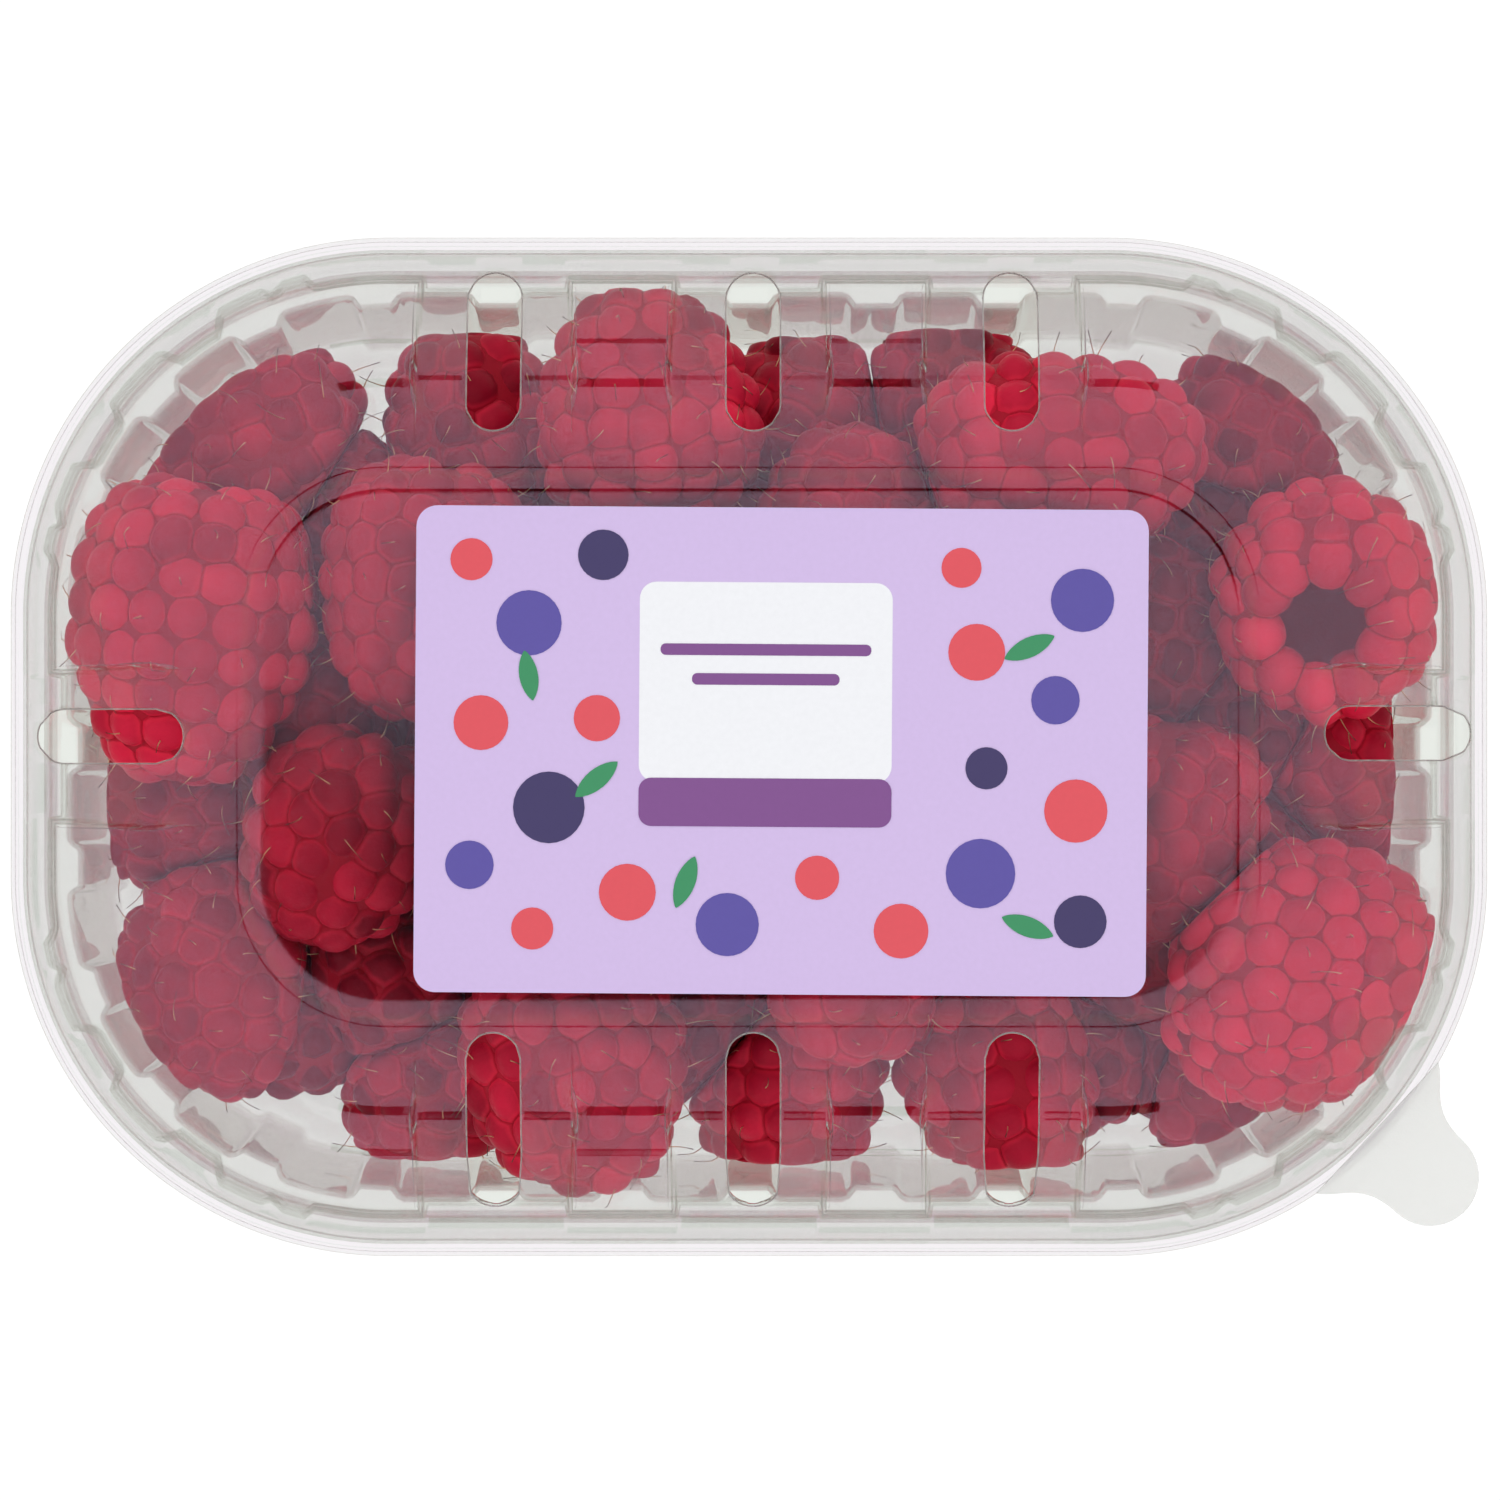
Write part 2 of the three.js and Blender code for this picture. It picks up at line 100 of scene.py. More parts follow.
def closed_rings(rings, poles):
    """A closed surface from a stack of rings: quads join each ring to the next, and a fan of
    triangles joins the first and the last ring to a pole each. Seen from the first pole, the
    points of a ring run anticlockwise."""
    rows, columns = rings.shape[:2]
    first = np.arange(columns)
    last = (rows - 1) * columns + first
    none = np.full(columns, -1)
    pole = none + 1 + rows * columns
    fans = [np.stack([first, np.roll(first, -1), pole, none], axis=-1),
            np.stack([np.roll(last, -1), last, pole + 1, none], axis=-1)]
    faces = np.concatenate([grid_faces(rows, columns)[:, ::-1], *fans])
    return np.concatenate([rings.reshape(-1, 3), poles]), faces


def around(count):
    """Angles in even steps round a full turn."""
    return np.arange(count) / count * 2 * np.pi


def smooth_step(x):
    """0 below 0, 1 above 1, and 3x^2 - 2x^3 between them."""
    x = np.clip(x, 0.0, 1.0)
    return x * x * (3.0 - 2.0 * x)


# %% Helpers for materials
def colour(hex_code):
    """sRGB hex to linear: c / 12.92 below 0.04045, else ((c + 0.055) / 1.055) ^ 2.4."""
    c = np.array([int(hex_code[i:i + 2], 16) for i in (0, 2, 4)]) / 255.0
    linear = np.where(c <= 0.04045, c / 12.92, ((c + 0.055) / 1.055) ** 2.4)
    return (*linear.tolist(), 1.0)


def new_material(name):
    """An empty node material and its output node."""
    material = bpy.data.materials.new(name)
    material.use_nodes = True
    tree = material.node_tree
    tree.nodes.clear()
    return material, tree, tree.nodes.new("ShaderNodeOutputMaterial")


def add(tree, kind, settings=None, **inputs):
    """Add a node. settings are its own properties; inputs are values, or sockets to link. An
    input goes by its name, or by its number where names repeat: at_0 is the first one."""
    node = tree.nodes.new("ShaderNode" + kind)
    for key, value in (settings or {}).items():
        setattr(node, key, value)
    for key, value in inputs.items():
        name = key.replace("_", " ")
        socket = node.inputs[int(name[3:])] if name.startswith("at ") else node.inputs[name]
        if isinstance(value, bpy.types.NodeSocket):
            tree.links.new(value, socket)
        else:
            socket.default_value = value
    return node


# %% [markdown]
# ## The outline of the rim
#
# Tray and lid share one outline: a rectangle of 142 by 98 mm whose corners are arcs of 36.5 mm.
# Every ring of the pack is that outline, set in by some distance, so one function of the
# distance round the rim serves them both.

# %% Rim outline
LENGTH, WIDTH, CORNER = 142.0, 98.0, 36.5
STRAIGHT_X = LENGTH / 2 - CORNER
STRAIGHT_Y = WIDTH / 2 - CORNER
ARC = CORNER * np.pi / 2
QUARTER = STRAIGHT_X + ARC + STRAIGHT_Y


def rim(along, quarter):
    """Point and outward direction at a distance along one quarter of the rim, from the middle
    of a long side to the middle of a short one. The angle grows evenly along the arc, and the
    quarters mirror each other."""
    angle = np.clip((along - STRAIGHT_X) / CORNER, 0.0, np.pi / 2)
    nx, ny = np.sin(angle), np.cos(angle)
    x = np.minimum(along, STRAIGHT_X) + CORNER * nx
    y = STRAIGHT_Y - np.maximum(along - STRAIGHT_X - ARC, 0.0) + CORNER * ny
    sx = np.where(quarter < 2, 1.0, -1.0)
    sy = np.where((quarter == 0) | (quarter == 3), 1.0, -1.0)
    return sx * x, sy * y, sx * nx, sy * ny


def round_rim(stations):
    """The quarter's stations repeated round the rim, every second time backwards."""
    along = np.concatenate([stations[::-1] if q % 2 else stations for q in range(4)])
    return along, np.repeat(np.arange(4), len(stations))


def inset_of(x, y):
    """How far inside the rim a point lies, and the direction that leads further in."""
    qx, qy = np.abs(x) - STRAIGHT_X, np.abs(y) - STRAIGHT_Y
    corner = (qx > 0) & (qy > 0)
    far = np.maximum(np.hypot(qx, qy), 1e-6)
    inset = CORNER - np.where(corner, far, np.maximum(qx, qy))
    in_x = -np.sign(x) * np.where(corner, qx / far, (qx > qy).astype(float))
    in_y = -np.sign(y) * np.where(corner, qy / far, (qx <= qy).astype(float))
    return inset, in_x, in_y


def rounded_profile(rows, radii, steps=4):
    """A profile with rounded corners, for all columns at once. rows is a list of (inset, z)
    arrays. At each inner row, a quadratic curve leads from one side to the other: its ends lie
    a radius away from the corner, but never past the middle of a side."""
    path = np.stack([np.stack(np.broadcast_arrays(*row), axis=-1) for row in rows])
    out = [path[0]]
    t = np.linspace(0.0, 1.0, steps)[:, None, None]
    for k in range(1, len(path) - 1):
        ends = []
        for other in (path[k - 1], path[k + 1]):
            side = other - path[k]
            size = np.linalg.norm(side, axis=-1, keepdims=True)
            ends.append(path[k] + side * np.minimum(radii[k] / np.maximum(size, 1e-6), 0.46))
        curve = (1 - t) ** 2 * ends[0] + 2 * t * (1 - t) * path[k] + t**2 * ends[1]
        out.extend(curve)
    out.append(path[-1])
    return np.stack(out)


def film(profile, along, quarter, floor_rings=7):
    """Carry a profile round the rim: each point is the rim's point moved in by the inset. The
    last ring is then shrunk to the middle in even steps, which makes the flat panel."""
    x, y, nx, ny = rim(along, quarter)
    inset, z = profile[..., 0], profile[..., 1]
    rings = np.stack([x - nx * inset, y - ny * inset, z], axis=-1)
    shrink = 1.0 - np.arange(1, floor_rings)[:, None] / floor_rings
    panel = rings[-1][None] * np.array([1.0, 1.0, 0.0]) * shrink[..., None]
    panel[..., 2] = rings[-1, :, 2].mean()
    grid = np.concatenate([rings, panel])
    rows, columns = grid.shape[:2]
    points = grid.reshape(-1, 3)
    middle = np.array([[0.0, 0.0, panel[0, 0, 2]]])
    last = (rows - 1) * columns + np.arange(columns)
    fan = np.stack([last, np.roll(last, -1), np.full(columns, len(points)),
                    np.full(columns, -1)], axis=-1)
    faces = np.concatenate([grid_faces(rows, columns), fan])
    return np.concatenate([points, middle]), faces


def up_side(points, faces):
    """Turn an open sheet so that its faces look up: the sum of their plan areas is positive."""
    a, b, c = (points[faces[:, k]] for k in range(3))
    lift = np.cross(b - a, c - a)[:, 2].sum()
    if lift > 0:
        return faces
    quads = faces[faces[:, 3] >= 0][:, ::-1]
    fans = faces[faces[:, 3] < 0][:, [2, 1, 0, 3]]
    return np.concatenate([quads, fans])


# %% [markdown]
# ## Clear PET film
#
# Tray and lid are thermoformed from clear PET, an IOR of about 1.57. The film is so thin that it
# bends no light to speak of, so it isn't built as glass: each face of it lets most of the light
# straight through and mirrors the rest. Schlick's rule gives the mirrored share: about 5% when
# looked at square on, and more and more as the face turns away. Two faces of film under a bright
# studio give the milky veil over the fruit. On the lid, where the film is level, that reflection
# is painted pink, for the fruit's red light in the veil. A wall that is seen edge-on has a long
# way of plastic in it, so the light that it lets through turns a greyish tan there. The burr on a
# cut edge is the same plastic, whitened.

# %% PET material
PET_IOR = 1.57
FILM_F0 = 0.05           # share mirrored square on, at that IOR
LID_CLEAR, LID_EDGE = colour("f7f7f7"), colour("aba59d")
TRAY_CLEAR, TRAY_EDGE = colour("f1f3f0"), colour("cfc9c5")
# Painted reflection: the lid's mirror is tinted pink on level film, for the fruit's red light in
# the veil.
LID_PAINTED_PINK_MIRROR = colour("ffddfc")             # the haze on level film takes up some of the fruit's red
PLAIN_MIRROR = colour("f9f8f7")
CUT_EDGE = colour("cfc4c2")


def make_film_material(name, film_clear, film_edge, film_mirror):
    """Film lets light through and mirrors a share of it. The share is F0 + (1 - F0) facing^5,
    where facing is 0 square on and 1 edge-on. The light that passes goes from the clear tint to
    the edge tint as the film turns edge-on. The mirror's colour goes from film_mirror, which on the
    lid is a painted pink reflection, to plain on steep film."""
    material, tree, out = new_material(name)
    facing = add(tree, "LayerWeight", Blend=0.5).outputs["Facing"]
    power = add(tree, "Math", {"operation": "POWER"}, at_0=facing, at_1=5.0)
    mirror = add(tree, "Math", {"operation": "MULTIPLY_ADD"}, at_0=power.outputs[0],
                 at_1=1.0 - FILM_F0, at_2=FILM_F0)
    edge = add(tree, "MapRange", {"interpolation_type": "SMOOTHSTEP"}, Value=facing,
               From_Min=0.55, From_Max=0.97)
    tint = add(tree, "Mix", {"data_type": "RGBA"}, Factor=edge.outputs[0], A=film_clear,
               B=film_edge)
    through = add(tree, "BsdfTransparent", Color=tint.outputs["Result"])
    steep = add(tree, "MapRange", Value=facing, From_Min=0.1, From_Max=0.5)
    # Painted reflection on the lid: the mirror's pink tint on level film fades to plain on steep
    # film.
    mirror_tint = add(tree, "Mix", {"data_type": "RGBA"}, Factor=steep.outputs[0], A=film_mirror,
               B=PLAIN_MIRROR)
    gloss = add(tree, "BsdfPrincipled", Base_Color=mirror_tint.outputs["Result"], Metallic=1.0,
                Roughness=0.05)
    both = add(tree, "MixShader", Fac=mirror.outputs[0], at_1=through.outputs[0],
               at_2=gloss.outputs[0])
    tree.links.new(both.outputs[0], out.inputs["Surface"])
    return material


def make_burr_material():
    """Cut PET whitens a little, and stays half clear: a mix of a clear and a white skin, whose
    share of white grows evenly with facing."""
    material, tree, out = new_material("cut_pet_edge")
    facing = add(tree, "LayerWeight", Blend=0.5).outputs["Facing"]
    share = add(tree, "MapRange", Value=facing, To_Min=0.35, To_Max=0.8)
    through = add(tree, "BsdfTransparent", Color=LID_CLEAR)
    white = add(tree, "BsdfPrincipled", Base_Color=CUT_EDGE, Roughness=0.3, IOR=PET_IOR)
    both = add(tree, "MixShader", Fac=share.outputs[0], at_1=through.outputs[0],
               at_2=white.outputs[0])
    tree.links.new(both.outputs[0], out.inputs["Surface"])
    return material


burr = make_burr_material()
tray_film = make_film_material("clear_pet_tray", TRAY_CLEAR, TRAY_EDGE, PLAIN_MIRROR)
lid_film = make_film_material("clear_pet_lid", LID_CLEAR, LID_EDGE, LID_PAINTED_PINK_MIRROR)
print("made", burr.name, tray_film.name, lid_film.name)

# %% [markdown]
# ## The tray
#
# A thermoformed tray gets its stiffness from ribs that stand inwards from its wall. On this one
# they are 12 mm apart, about 4 mm wide on top and 1 mm deep, and they run from a narrow ledge
# under the rim down to the floor. The tray is one sheet: a profile that is carried round the
# rim, whose inset grows where a rib is. A Solidify modifier gives the sheet its wall.

# %% Tray sheet
TRAY_RIM = 31.0
TRAY_WALL = 0.5
RIB_DEPTH = 1.1
RIB_PITCH = 12.15
RIB_FACE, RIB_FOOT = 1.9, 3.1      # half widths of a rib: its face, and its foot on the wall
LAST_RIBS = (RIB_PITCH - 0.3, 0.0)       # how far before the middle of a short side
RIB_ANGLES = np.radians([25.0, 47.0, 69.0])
CORNER_SPREAD = 1.15     # how much wider the ribs in the corner arcs are
STEP = 0.42              # between the tray's stations along the rim
FIRST = 0.15             # the first station, clear of the line where two quarters meet


def rib_share(along):
    """1 on a rib's face and 0 between the ribs. Each rib falls off smoothly between half its
    face's width and half its foot's width from its centre line; the nearest rib counts."""
    centres = [k * RIB_PITCH for k in range(4)] + [QUARTER - away for away in LAST_RIBS]
    spreads = [1.0] * len(centres)
    centres += list(STRAIGHT_X + CORNER * RIB_ANGLES)
    spreads += [CORNER_SPREAD] * len(RIB_ANGLES)
    away = np.abs(along[None, :] - np.array(centres)[:, None]) / np.array(spreads)[:, None]
    return smooth_step((RIB_FOOT - away.min(axis=0)) / (RIB_FOOT - RIB_FACE))


def add_wall(sheet, thickness):
    """Give a sheet its wall, which grows inwards from the sheet."""
    wall = sheet.modifiers.new("wall", "SOLIDIFY")
    wall.thickness = thickness * MM
    wall.offset = -1.0


def make_tray():
    """The profile runs from the flange's lip to the floor, as insets and heights. Each inset is
    that of the plain wall plus the rib's depth times the rib's share of that row."""
    along, quarter = round_rim(np.arange(FIRST, QUARTER, STEP))
    deep = RIB_DEPTH * rib_share(along)
    flat = np.zeros_like(along)
    rows = [
        (1.25 + flat, TRAY_RIM - 0.35 + flat),
        (1.3 + flat, TRAY_RIM + flat),
        (3.7 + flat, TRAY_RIM + flat),
        (4.3 + flat, TRAY_RIM - 4.4 + flat),
        (5.4 + deep, TRAY_RIM - 4.9 + flat),
        (5.9 + deep, TRAY_RIM - 8.0 + flat),
        (8.6 + 0.75 * deep, 2.6 + flat),
        (10.2 + 0.3 * deep, TRAY_WALL + 0.05 + flat),
        (12.2 + flat, TRAY_WALL + 0.02 + flat),
    ]
    profile = rounded_profile(rows, [0, 0.2, 0.5, 0.5, 0.6, 1.2, 1.2, 0.9, 0])
    points, faces = film(profile, along, quarter)
    tray = new_piece("tray_sheet", points, up_side(points, faces), tray_film,
                     "tray_plastic", "tray")
    add_wall(tray, TRAY_WALL)


make_tray()

# %% [markdown]
# ## The lid
#
# The lid clips over the tray's flange. From there it rises in three ways: ribs between the slots
# climb at once, scoops at the slots climb as a slanting flat that ends in an arch, and the
# corners have scallops at their foot. All three run into one shallow dome. A rounded bead rings
# the flat panel in the middle, so that packs stack without sliding. Where the film is level it
# mirrors the dark gap overhead, and where it slopes it mirrors the white studio: that is why the
# panel looks clear and the dome milky, and why each crest shows as a dark line.

# %% Lid profile
LID_GAP = 0.3
LID_WALL = 0.4
FLANGE_TOP = TRAY_RIM + LID_GAP + 0.5
SLOT_PITCH = 24.25
SCOOP_EDGE = 6.7
RIB_WIDTH = 11.5
SPREAD = 0.9
SIDE_WALL = 0.34         # run of a scoop's side wall, along the rim
CORNER_RAMP, VALLEY_RAMP, NOTCH_WIDTH = 0.9, 1.5, 0.55
SCALLOPS = [("bulge", 4.4), ("notch", 0.4), ("bulge", 6.6), ("valley", 6.1), ("bulge", 8.8),
            ("valley", 6.1), ("bulge", 6.6), ("notch", 0.4), ("bulge", 4.4)]
CORNER_FROM = SLOT_PITCH + SCOOP_EDGE + RIB_WIDTH
CORNER_TO = QUARTER - SCOOP_EDGE - RIB_WIDTH
DIPS = [(0.026, 0.006, -0.07), (0.022, 0.042, -0.08)]    # of the lower and the upper ledge


def scoop_place(along):
    """Distance along the rim to the middle of the nearest scoop."""
    return np.minimum(np.minimum(along, np.abs(along - SLOT_PITCH)), QUARTER - along)


def scoop_share(along, spread):
    """1 in a scoop and 0 on a rib; between them a steep side wall."""
    return smooth_step((SCOOP_EDGE + spread - scoop_place(along)) / SIDE_WALL + 0.5)


def scallop_shares(along):
    """How much of a corner's bulge, valley and notch there is at each place: each stretch rises
    and falls smoothly at its ends, and a notch is a narrow bell."""
    scale = (CORNER_TO - CORNER_FROM) / sum(width for _, width in SCALLOPS)
    corner = (smooth_step((along - CORNER_FROM) / CORNER_RAMP)
              * smooth_step((CORNER_TO - along) / CORNER_RAMP))
    valley, notch = np.zeros_like(along), np.zeros_like(along)
    start = CORNER_FROM
    for kind, width in SCALLOPS:
        end = start + width * scale
        if kind == "valley":
            valley += (smooth_step((along - start) / VALLEY_RAMP + 0.5)
                       * smooth_step((end - along) / VALLEY_RAMP + 0.5))
        if kind == "notch":
            notch += np.exp(-(((along - (start + end) / 2) / NOTCH_WIDTH) ** 2))
        start = end
    return corner, valley * corner, notch * corner


def between(one, other):
    """The middle of two rows: it keeps the sheet flat from one to the other."""
    return (one[0] + other[0]) / 2, (one[1] + other[1]) / 2


def lid_rows(along, ny):
    """The lid's rows, from the lip inwards: each is an inset and a height, mixed from the
    values for rib, scoop, bulge, valley and notch by their shares. The arch of a scoop is
    (1 - across^3)^(1/2.2) high. The lid is a bit warped, so the narrow ledges dip by a few
    hundredths of a millimetre, and not alike on each side: a level, a part that grows with ny
    towards the long side at +Y, and a part for the short sides, where ny is 0."""
    corner, valley, notch = scallop_shares(along)

    def mix(rib, scoop, bulge, low, cut, spread=0.0):
        """One value for every station, from those of the five forms."""
        share = scoop_share(along, spread)
        value = rib * (1 - corner) + bulge * corner
        value = value + (low - bulge) * valley + (cut - bulge) * notch
        return value * (1 - share) + scoop * share

    across = np.clip(scoop_place(along) / (SCOOP_EDGE + SPREAD), 0.0, 1.0)
    arch = (1.0 - across**3) ** (1 / 2.2)
    flat = np.zeros_like(along)
    low_dip, high_dip = (level + lean * ny + short * (1 - ny**2) for level, lean, short in DIPS)
    foot = mix(3.7, 4.9, 2.6, 4.3, 3.4)
    low_step = (mix(9.9, 10.2, 10.1, 10.1, 10.1, 0.7), mix(39.3, 37.0, 39.1, 39.1, 39.1, 0.7))
    middle_step = (mix(10.9, 13.3, 10.9, 10.9, 10.9, 0.8),
                   mix(39.3, 39.3, 39.2, 39.2, 39.2, 0.8)
                   - low_dip * (1 - scoop_share(along, 0.8)))
    high_step = (mix(13.7, 14.5, 14.4, 14.4, 14.4, 0.9),
                 mix(40.5, 39.3, 40.4, 40.4, 40.4, 0.9) - low_dip * scoop_share(along, 0.9))
    dome_foot = (15.2 + 3.8 * arch * scoop_share(along, SPREAD),
                 mix(40.5, 41.15, 40.7, 40.7, 40.7, 0.9)
                 - high_dip * (1 - scoop_share(along, 0.9)))
    return [
        (0.05 + flat, TRAY_RIM - 1.8 + flat),
        (0.1 + flat, FLANGE_TOP - 0.4 + flat),
        (0.45 + flat, FLANGE_TOP + flat),
        (1.25 + flat, FLANGE_TOP - 0.02 + flat),
        (np.minimum(1.7, foot - 0.9), FLANGE_TOP - 0.32 + flat),
        (foot - 0.35, FLANGE_TOP - 0.3 + flat),
        (foot, FLANGE_TOP - 0.15 + flat),
        (mix(4.4, 5.5, 3.7, 5.3, 4.5, 0.3), mix(35.4, 33.6, 34.9, 34.9, 34.9, 0.3)),
        low_step,
        between(low_step, middle_step),
        middle_step,
        between(middle_step, high_step),
        high_step,
        between(high_step, dome_foot),
        dome_foot,
        (21.2 + flat, 41.62 + flat),
        (22.1 + flat, 41.95 + flat),
        (22.9 + flat, 41.95 - 0.022 * ny),
        (23.7 + flat, 41.05 + flat),
        (24.4 + flat, 40.92 + flat),
        (25.2 + flat, 40.92 + flat),
    ]


LID_RADII = [0, 0.25, 0.3, 0.2, 0.2, 0.2, 0.3, 0.8, 0.15, 0.2, 0.15, 0.2, 0.15, 0.4, 0.5, 0.5,
             0.25, 0.25, 0.3, 0.3, 0]


# %% [markdown]
# ## The vent slots
#
# The slots are punched after forming: three on each long side and one on each short side, 5.2 mm
# wide with round ends. The punch sat a millimetre off centre on this pack. In the mesh, faces
# whose middle lies in a slot are taken out, and the points left on the ragged edge are pulled
# onto the slot's outline, along the sheet, so that the edge comes out clean.

# %% Slot cutting
SLOT_WIDTH = 5.2
EDGE_REACH = 3.0         # faces that can touch a slot's edge have their middle nearer than this
LEAST_RISE = 0.25        # a normal counts as no flatter than this, so that no point flies off
SLOTS = [(x, y, half, "y") for y, half in ((37.75, 7.75), (-35.6, 8.5))
         for x in (-24.3, 0.4, 25.0)]
SLOTS += [(-61.0, 1.0, 7.3, "x"), (62.0, 1.3, 7.3, "x")]


def slot_distance(x, y, slot):
    """Distance to a slot's outline, below 0 inside: the distance to its middle line, less half
    its width. Also gives the direction away from that line."""
    cx, cy, half, axis = slot
    reach = half - SLOT_WIDTH / 2
    dx, dy = x - cx, y - cy
    if axis == "y":
        dy = dy - np.clip(dy, -reach, reach)
    else:
        dx = dx - np.clip(dx, -reach, reach)
    away = np.maximum(np.hypot(dx, dy), 1e-9)
    return away - SLOT_WIDTH / 2, dx / away, dy / away


def sheet_normals(points, faces):
    """Point normals: the sum of the face normals round each point."""
    a, b, c = (points[faces[:, k]] for k in range(3))
    face = np.cross(b - a, c - a)
    total = np.zeros_like(points)
    for k in range(4):
        used = faces[:, k] >= 0
        np.add.at(total, faces[used, k], face[used])
    return total / np.maximum(np.linalg.norm(total, axis=1, keepdims=True), 1e-12)


def cut_slots(points, faces):
    """Take out the faces inside a slot, and pull the edge's points onto the outline: each moves
    by its distance to it, and its height changes as the sheet's tangent plane does there."""
    normals = sheet_normals(points, faces)
    corner = np.where(faces >= 0, faces, faces[:, :1])
    middle = points[corner].mean(axis=1)
    keep = np.ones(len(faces), bool)
    for slot in SLOTS:
        distance, _, _ = slot_distance(middle[:, 0], middle[:, 1], slot)
        inside = distance < 0
        keep &= ~inside
        edge = np.intersect1d(faces[inside], faces[~inside & (distance < EDGE_REACH)])
        edge = edge[edge >= 0]
        p, n = points[edge], normals[edge]
        gap, ux, uy = slot_distance(p[:, 0], p[:, 1], slot)
        dx, dy = -gap * ux, -gap * uy
        dz = -(n[:, 0] * dx + n[:, 1] * dy) / np.maximum(n[:, 2], LEAST_RISE)
        points[edge] = p + np.stack([dx, dy, dz], axis=1)
    used, faces_new = np.unique(faces[keep], return_inverse=True)
    faces_new = faces_new.reshape(-1, 4)
    if used[0] < 0:
        used, faces_new = used[1:], faces_new - 1
    return points[used], faces_new


# %% Stations and burrs of the lid
EVEN_STEP, SLOT_STEP, SIDE_STEP = 0.8, 0.4, 0.125
SIDE_REACH = 0.75        # fine stations run this far to both sides of a scoop's side wall
BURR_RADIUS, BURR_OVERLAP = 0.075, 0.03
SHORTEST_EDGE = 0.01


def lid_stations():
    """Stations along a quarter: an even spacing, with more of them at the slots and at the
    scoops' sides."""
    even = np.arange(FIRST, QUARTER, EVEN_STEP)
    even = even[scoop_place(even) > SLOT_WIDTH / 2 + 1.0]
    slots = np.arange(FIRST, QUARTER, SLOT_STEP)
    slots = slots[scoop_place(slots) < SLOT_WIDTH / 2 + 0.8]
    sides = [(SCOOP_EDGE, 1), (SLOT_PITCH - SCOOP_EDGE, -1), (SLOT_PITCH + SCOOP_EDGE, 1),
             (QUARTER - SCOOP_EDGE, -1)]
    fine = [side + lean * SPREAD / 2 + np.arange(-SIDE_REACH, SIDE_REACH + 0.01, SIDE_STEP)
            for side, lean in sides]
    away = np.min([np.abs(even - f.mean()) for f in fine], axis=0)
    return np.sort(np.concatenate([even[away > SIDE_REACH + 0.2], slots, *fine]))


def edge_beads(points, faces):
    """A thin rod along every open edge in a slot: a punched edge has a burr that catches the
    light. Each rod is a closed prism of four sides from one end of the edge to the other."""
    corners = np.where(faces >= 0, faces, faces[:, 2:3])
    pairs = np.concatenate([np.stack([corners[:, k], corners[:, (k + 1) % 4]], axis=1)
                            for k in range(4)])
    pairs = np.sort(pairs[pairs[:, 0] != pairs[:, 1]], axis=1)
    pairs, uses = np.unique(pairs, axis=0, return_counts=True)
    open_edges = pairs[uses == 1]
    middle = points[open_edges].mean(axis=1)
    near = np.min([np.abs(slot_distance(middle[:, 0], middle[:, 1], s)[0]) for s in SLOTS], axis=0)
    size = np.linalg.norm(points[open_edges[:, 0]] - points[open_edges[:, 1]], axis=1)
    a, b = points[open_edges[(near < 0.5) & (size > SHORTEST_EDGE)]].transpose(1, 0, 2)
    along = (b - a) / np.linalg.norm(b - a, axis=1, keepdims=True)
    side = np.cross(along, [0.0, 0.0, 1.0])
    side /= np.linalg.norm(side, axis=1, keepdims=True)
    up = np.cross(side, along)
    ring = [way * BURR_RADIUS for way in (side, up, -side, -up)]
    ends = (a - along * BURR_OVERLAP, b + along * BURR_OVERLAP)
    rods = np.stack([end + offset for end in ends for offset in ring], axis=1)
    box = np.array([[4, 5, 1, 0], [5, 6, 2, 1], [6, 7, 3, 2], [7, 4, 0, 3], [0, 1, 2, 3],
                    [7, 6, 5, 4]])
    shift = (np.arange(len(a)) * 8)[:, None, None]
    return rods.reshape(-1, 3), (box[None] + shift).reshape(-1, 4)


def make_lid():
    """Carry the lid's rows round the rim, cut the slots, and lay the burr along their edges in
    the middle of the wall."""
    along, quarter = round_rim(lid_stations())
    profile = rounded_profile(lid_rows(along, rim(along, quarter)[3]), LID_RADII, steps=3)
    points, faces = film(profile, along, quarter, floor_rings=3)
    faces = up_side(points, faces)
    points, faces = cut_slots(points, faces)
    lid = new_piece("lid_sheet", points, faces, lid_film, "lid_plastic", "lid")
    new_piece("slot_edges", *edge_beads(points - [0.0, 0.0, LID_WALL / 2], faces), burr,
              "lid_plastic", "lid")
    add_wall(lid, LID_WALL)


make_lid()

# %% [markdown]
# ## The pull tab
#
# A round lobe stands out of one corner of the flange, on a root that flares into it. It is
# sandblasted in the mould, so it scatters the light: a frosted look. It is a flat plate whose
# outline is made of an arc and two smooth curves.

# %% Pull tab
TAB_ANGLE = np.radians(-43.0)
TAB_REACH = 42.2         # from the middle of the corner's arc to the middle of the lobe
TAB_RADIUS, TAB_ROOT = 4.7, 8.6          # of the lobe, and half the width of the root
FLARE_STEPS, LOBE_STEPS = 14, 22
FROST_TINT, FROST_CLEAR = colour("e9eae8"), colour("fcfcfb")
FROST_SHARE = 0.55       # of the light that the rough skin scatters


def make_frosted_material():
    """Sandblasted PET: a rough skin over clear film, with a grain of about 0.4 mm."""
    material, tree, out = new_material("frosted_pet")
    place = add(tree, "TexCoord").outputs["Object"]
    grain = add(tree, "TexNoise", Vector=place, Scale=2500.0, Detail=1.0)
    bump = add(tree, "Bump", Strength=0.15, Distance=0.0002, Height=grain.outputs[0])
    skin = add(tree, "BsdfPrincipled", Base_Color=FROST_TINT, Roughness=0.55, IOR=PET_IOR,
               Normal=bump.outputs[0])
    through = add(tree, "BsdfTransparent", Color=FROST_CLEAR)
    both = add(tree, "MixShader", Fac=FROST_SHARE, at_1=through.outputs[0],
               at_2=skin.outputs[0])
    tree.links.new(both.outputs[0], out.inputs["Surface"])
    return material


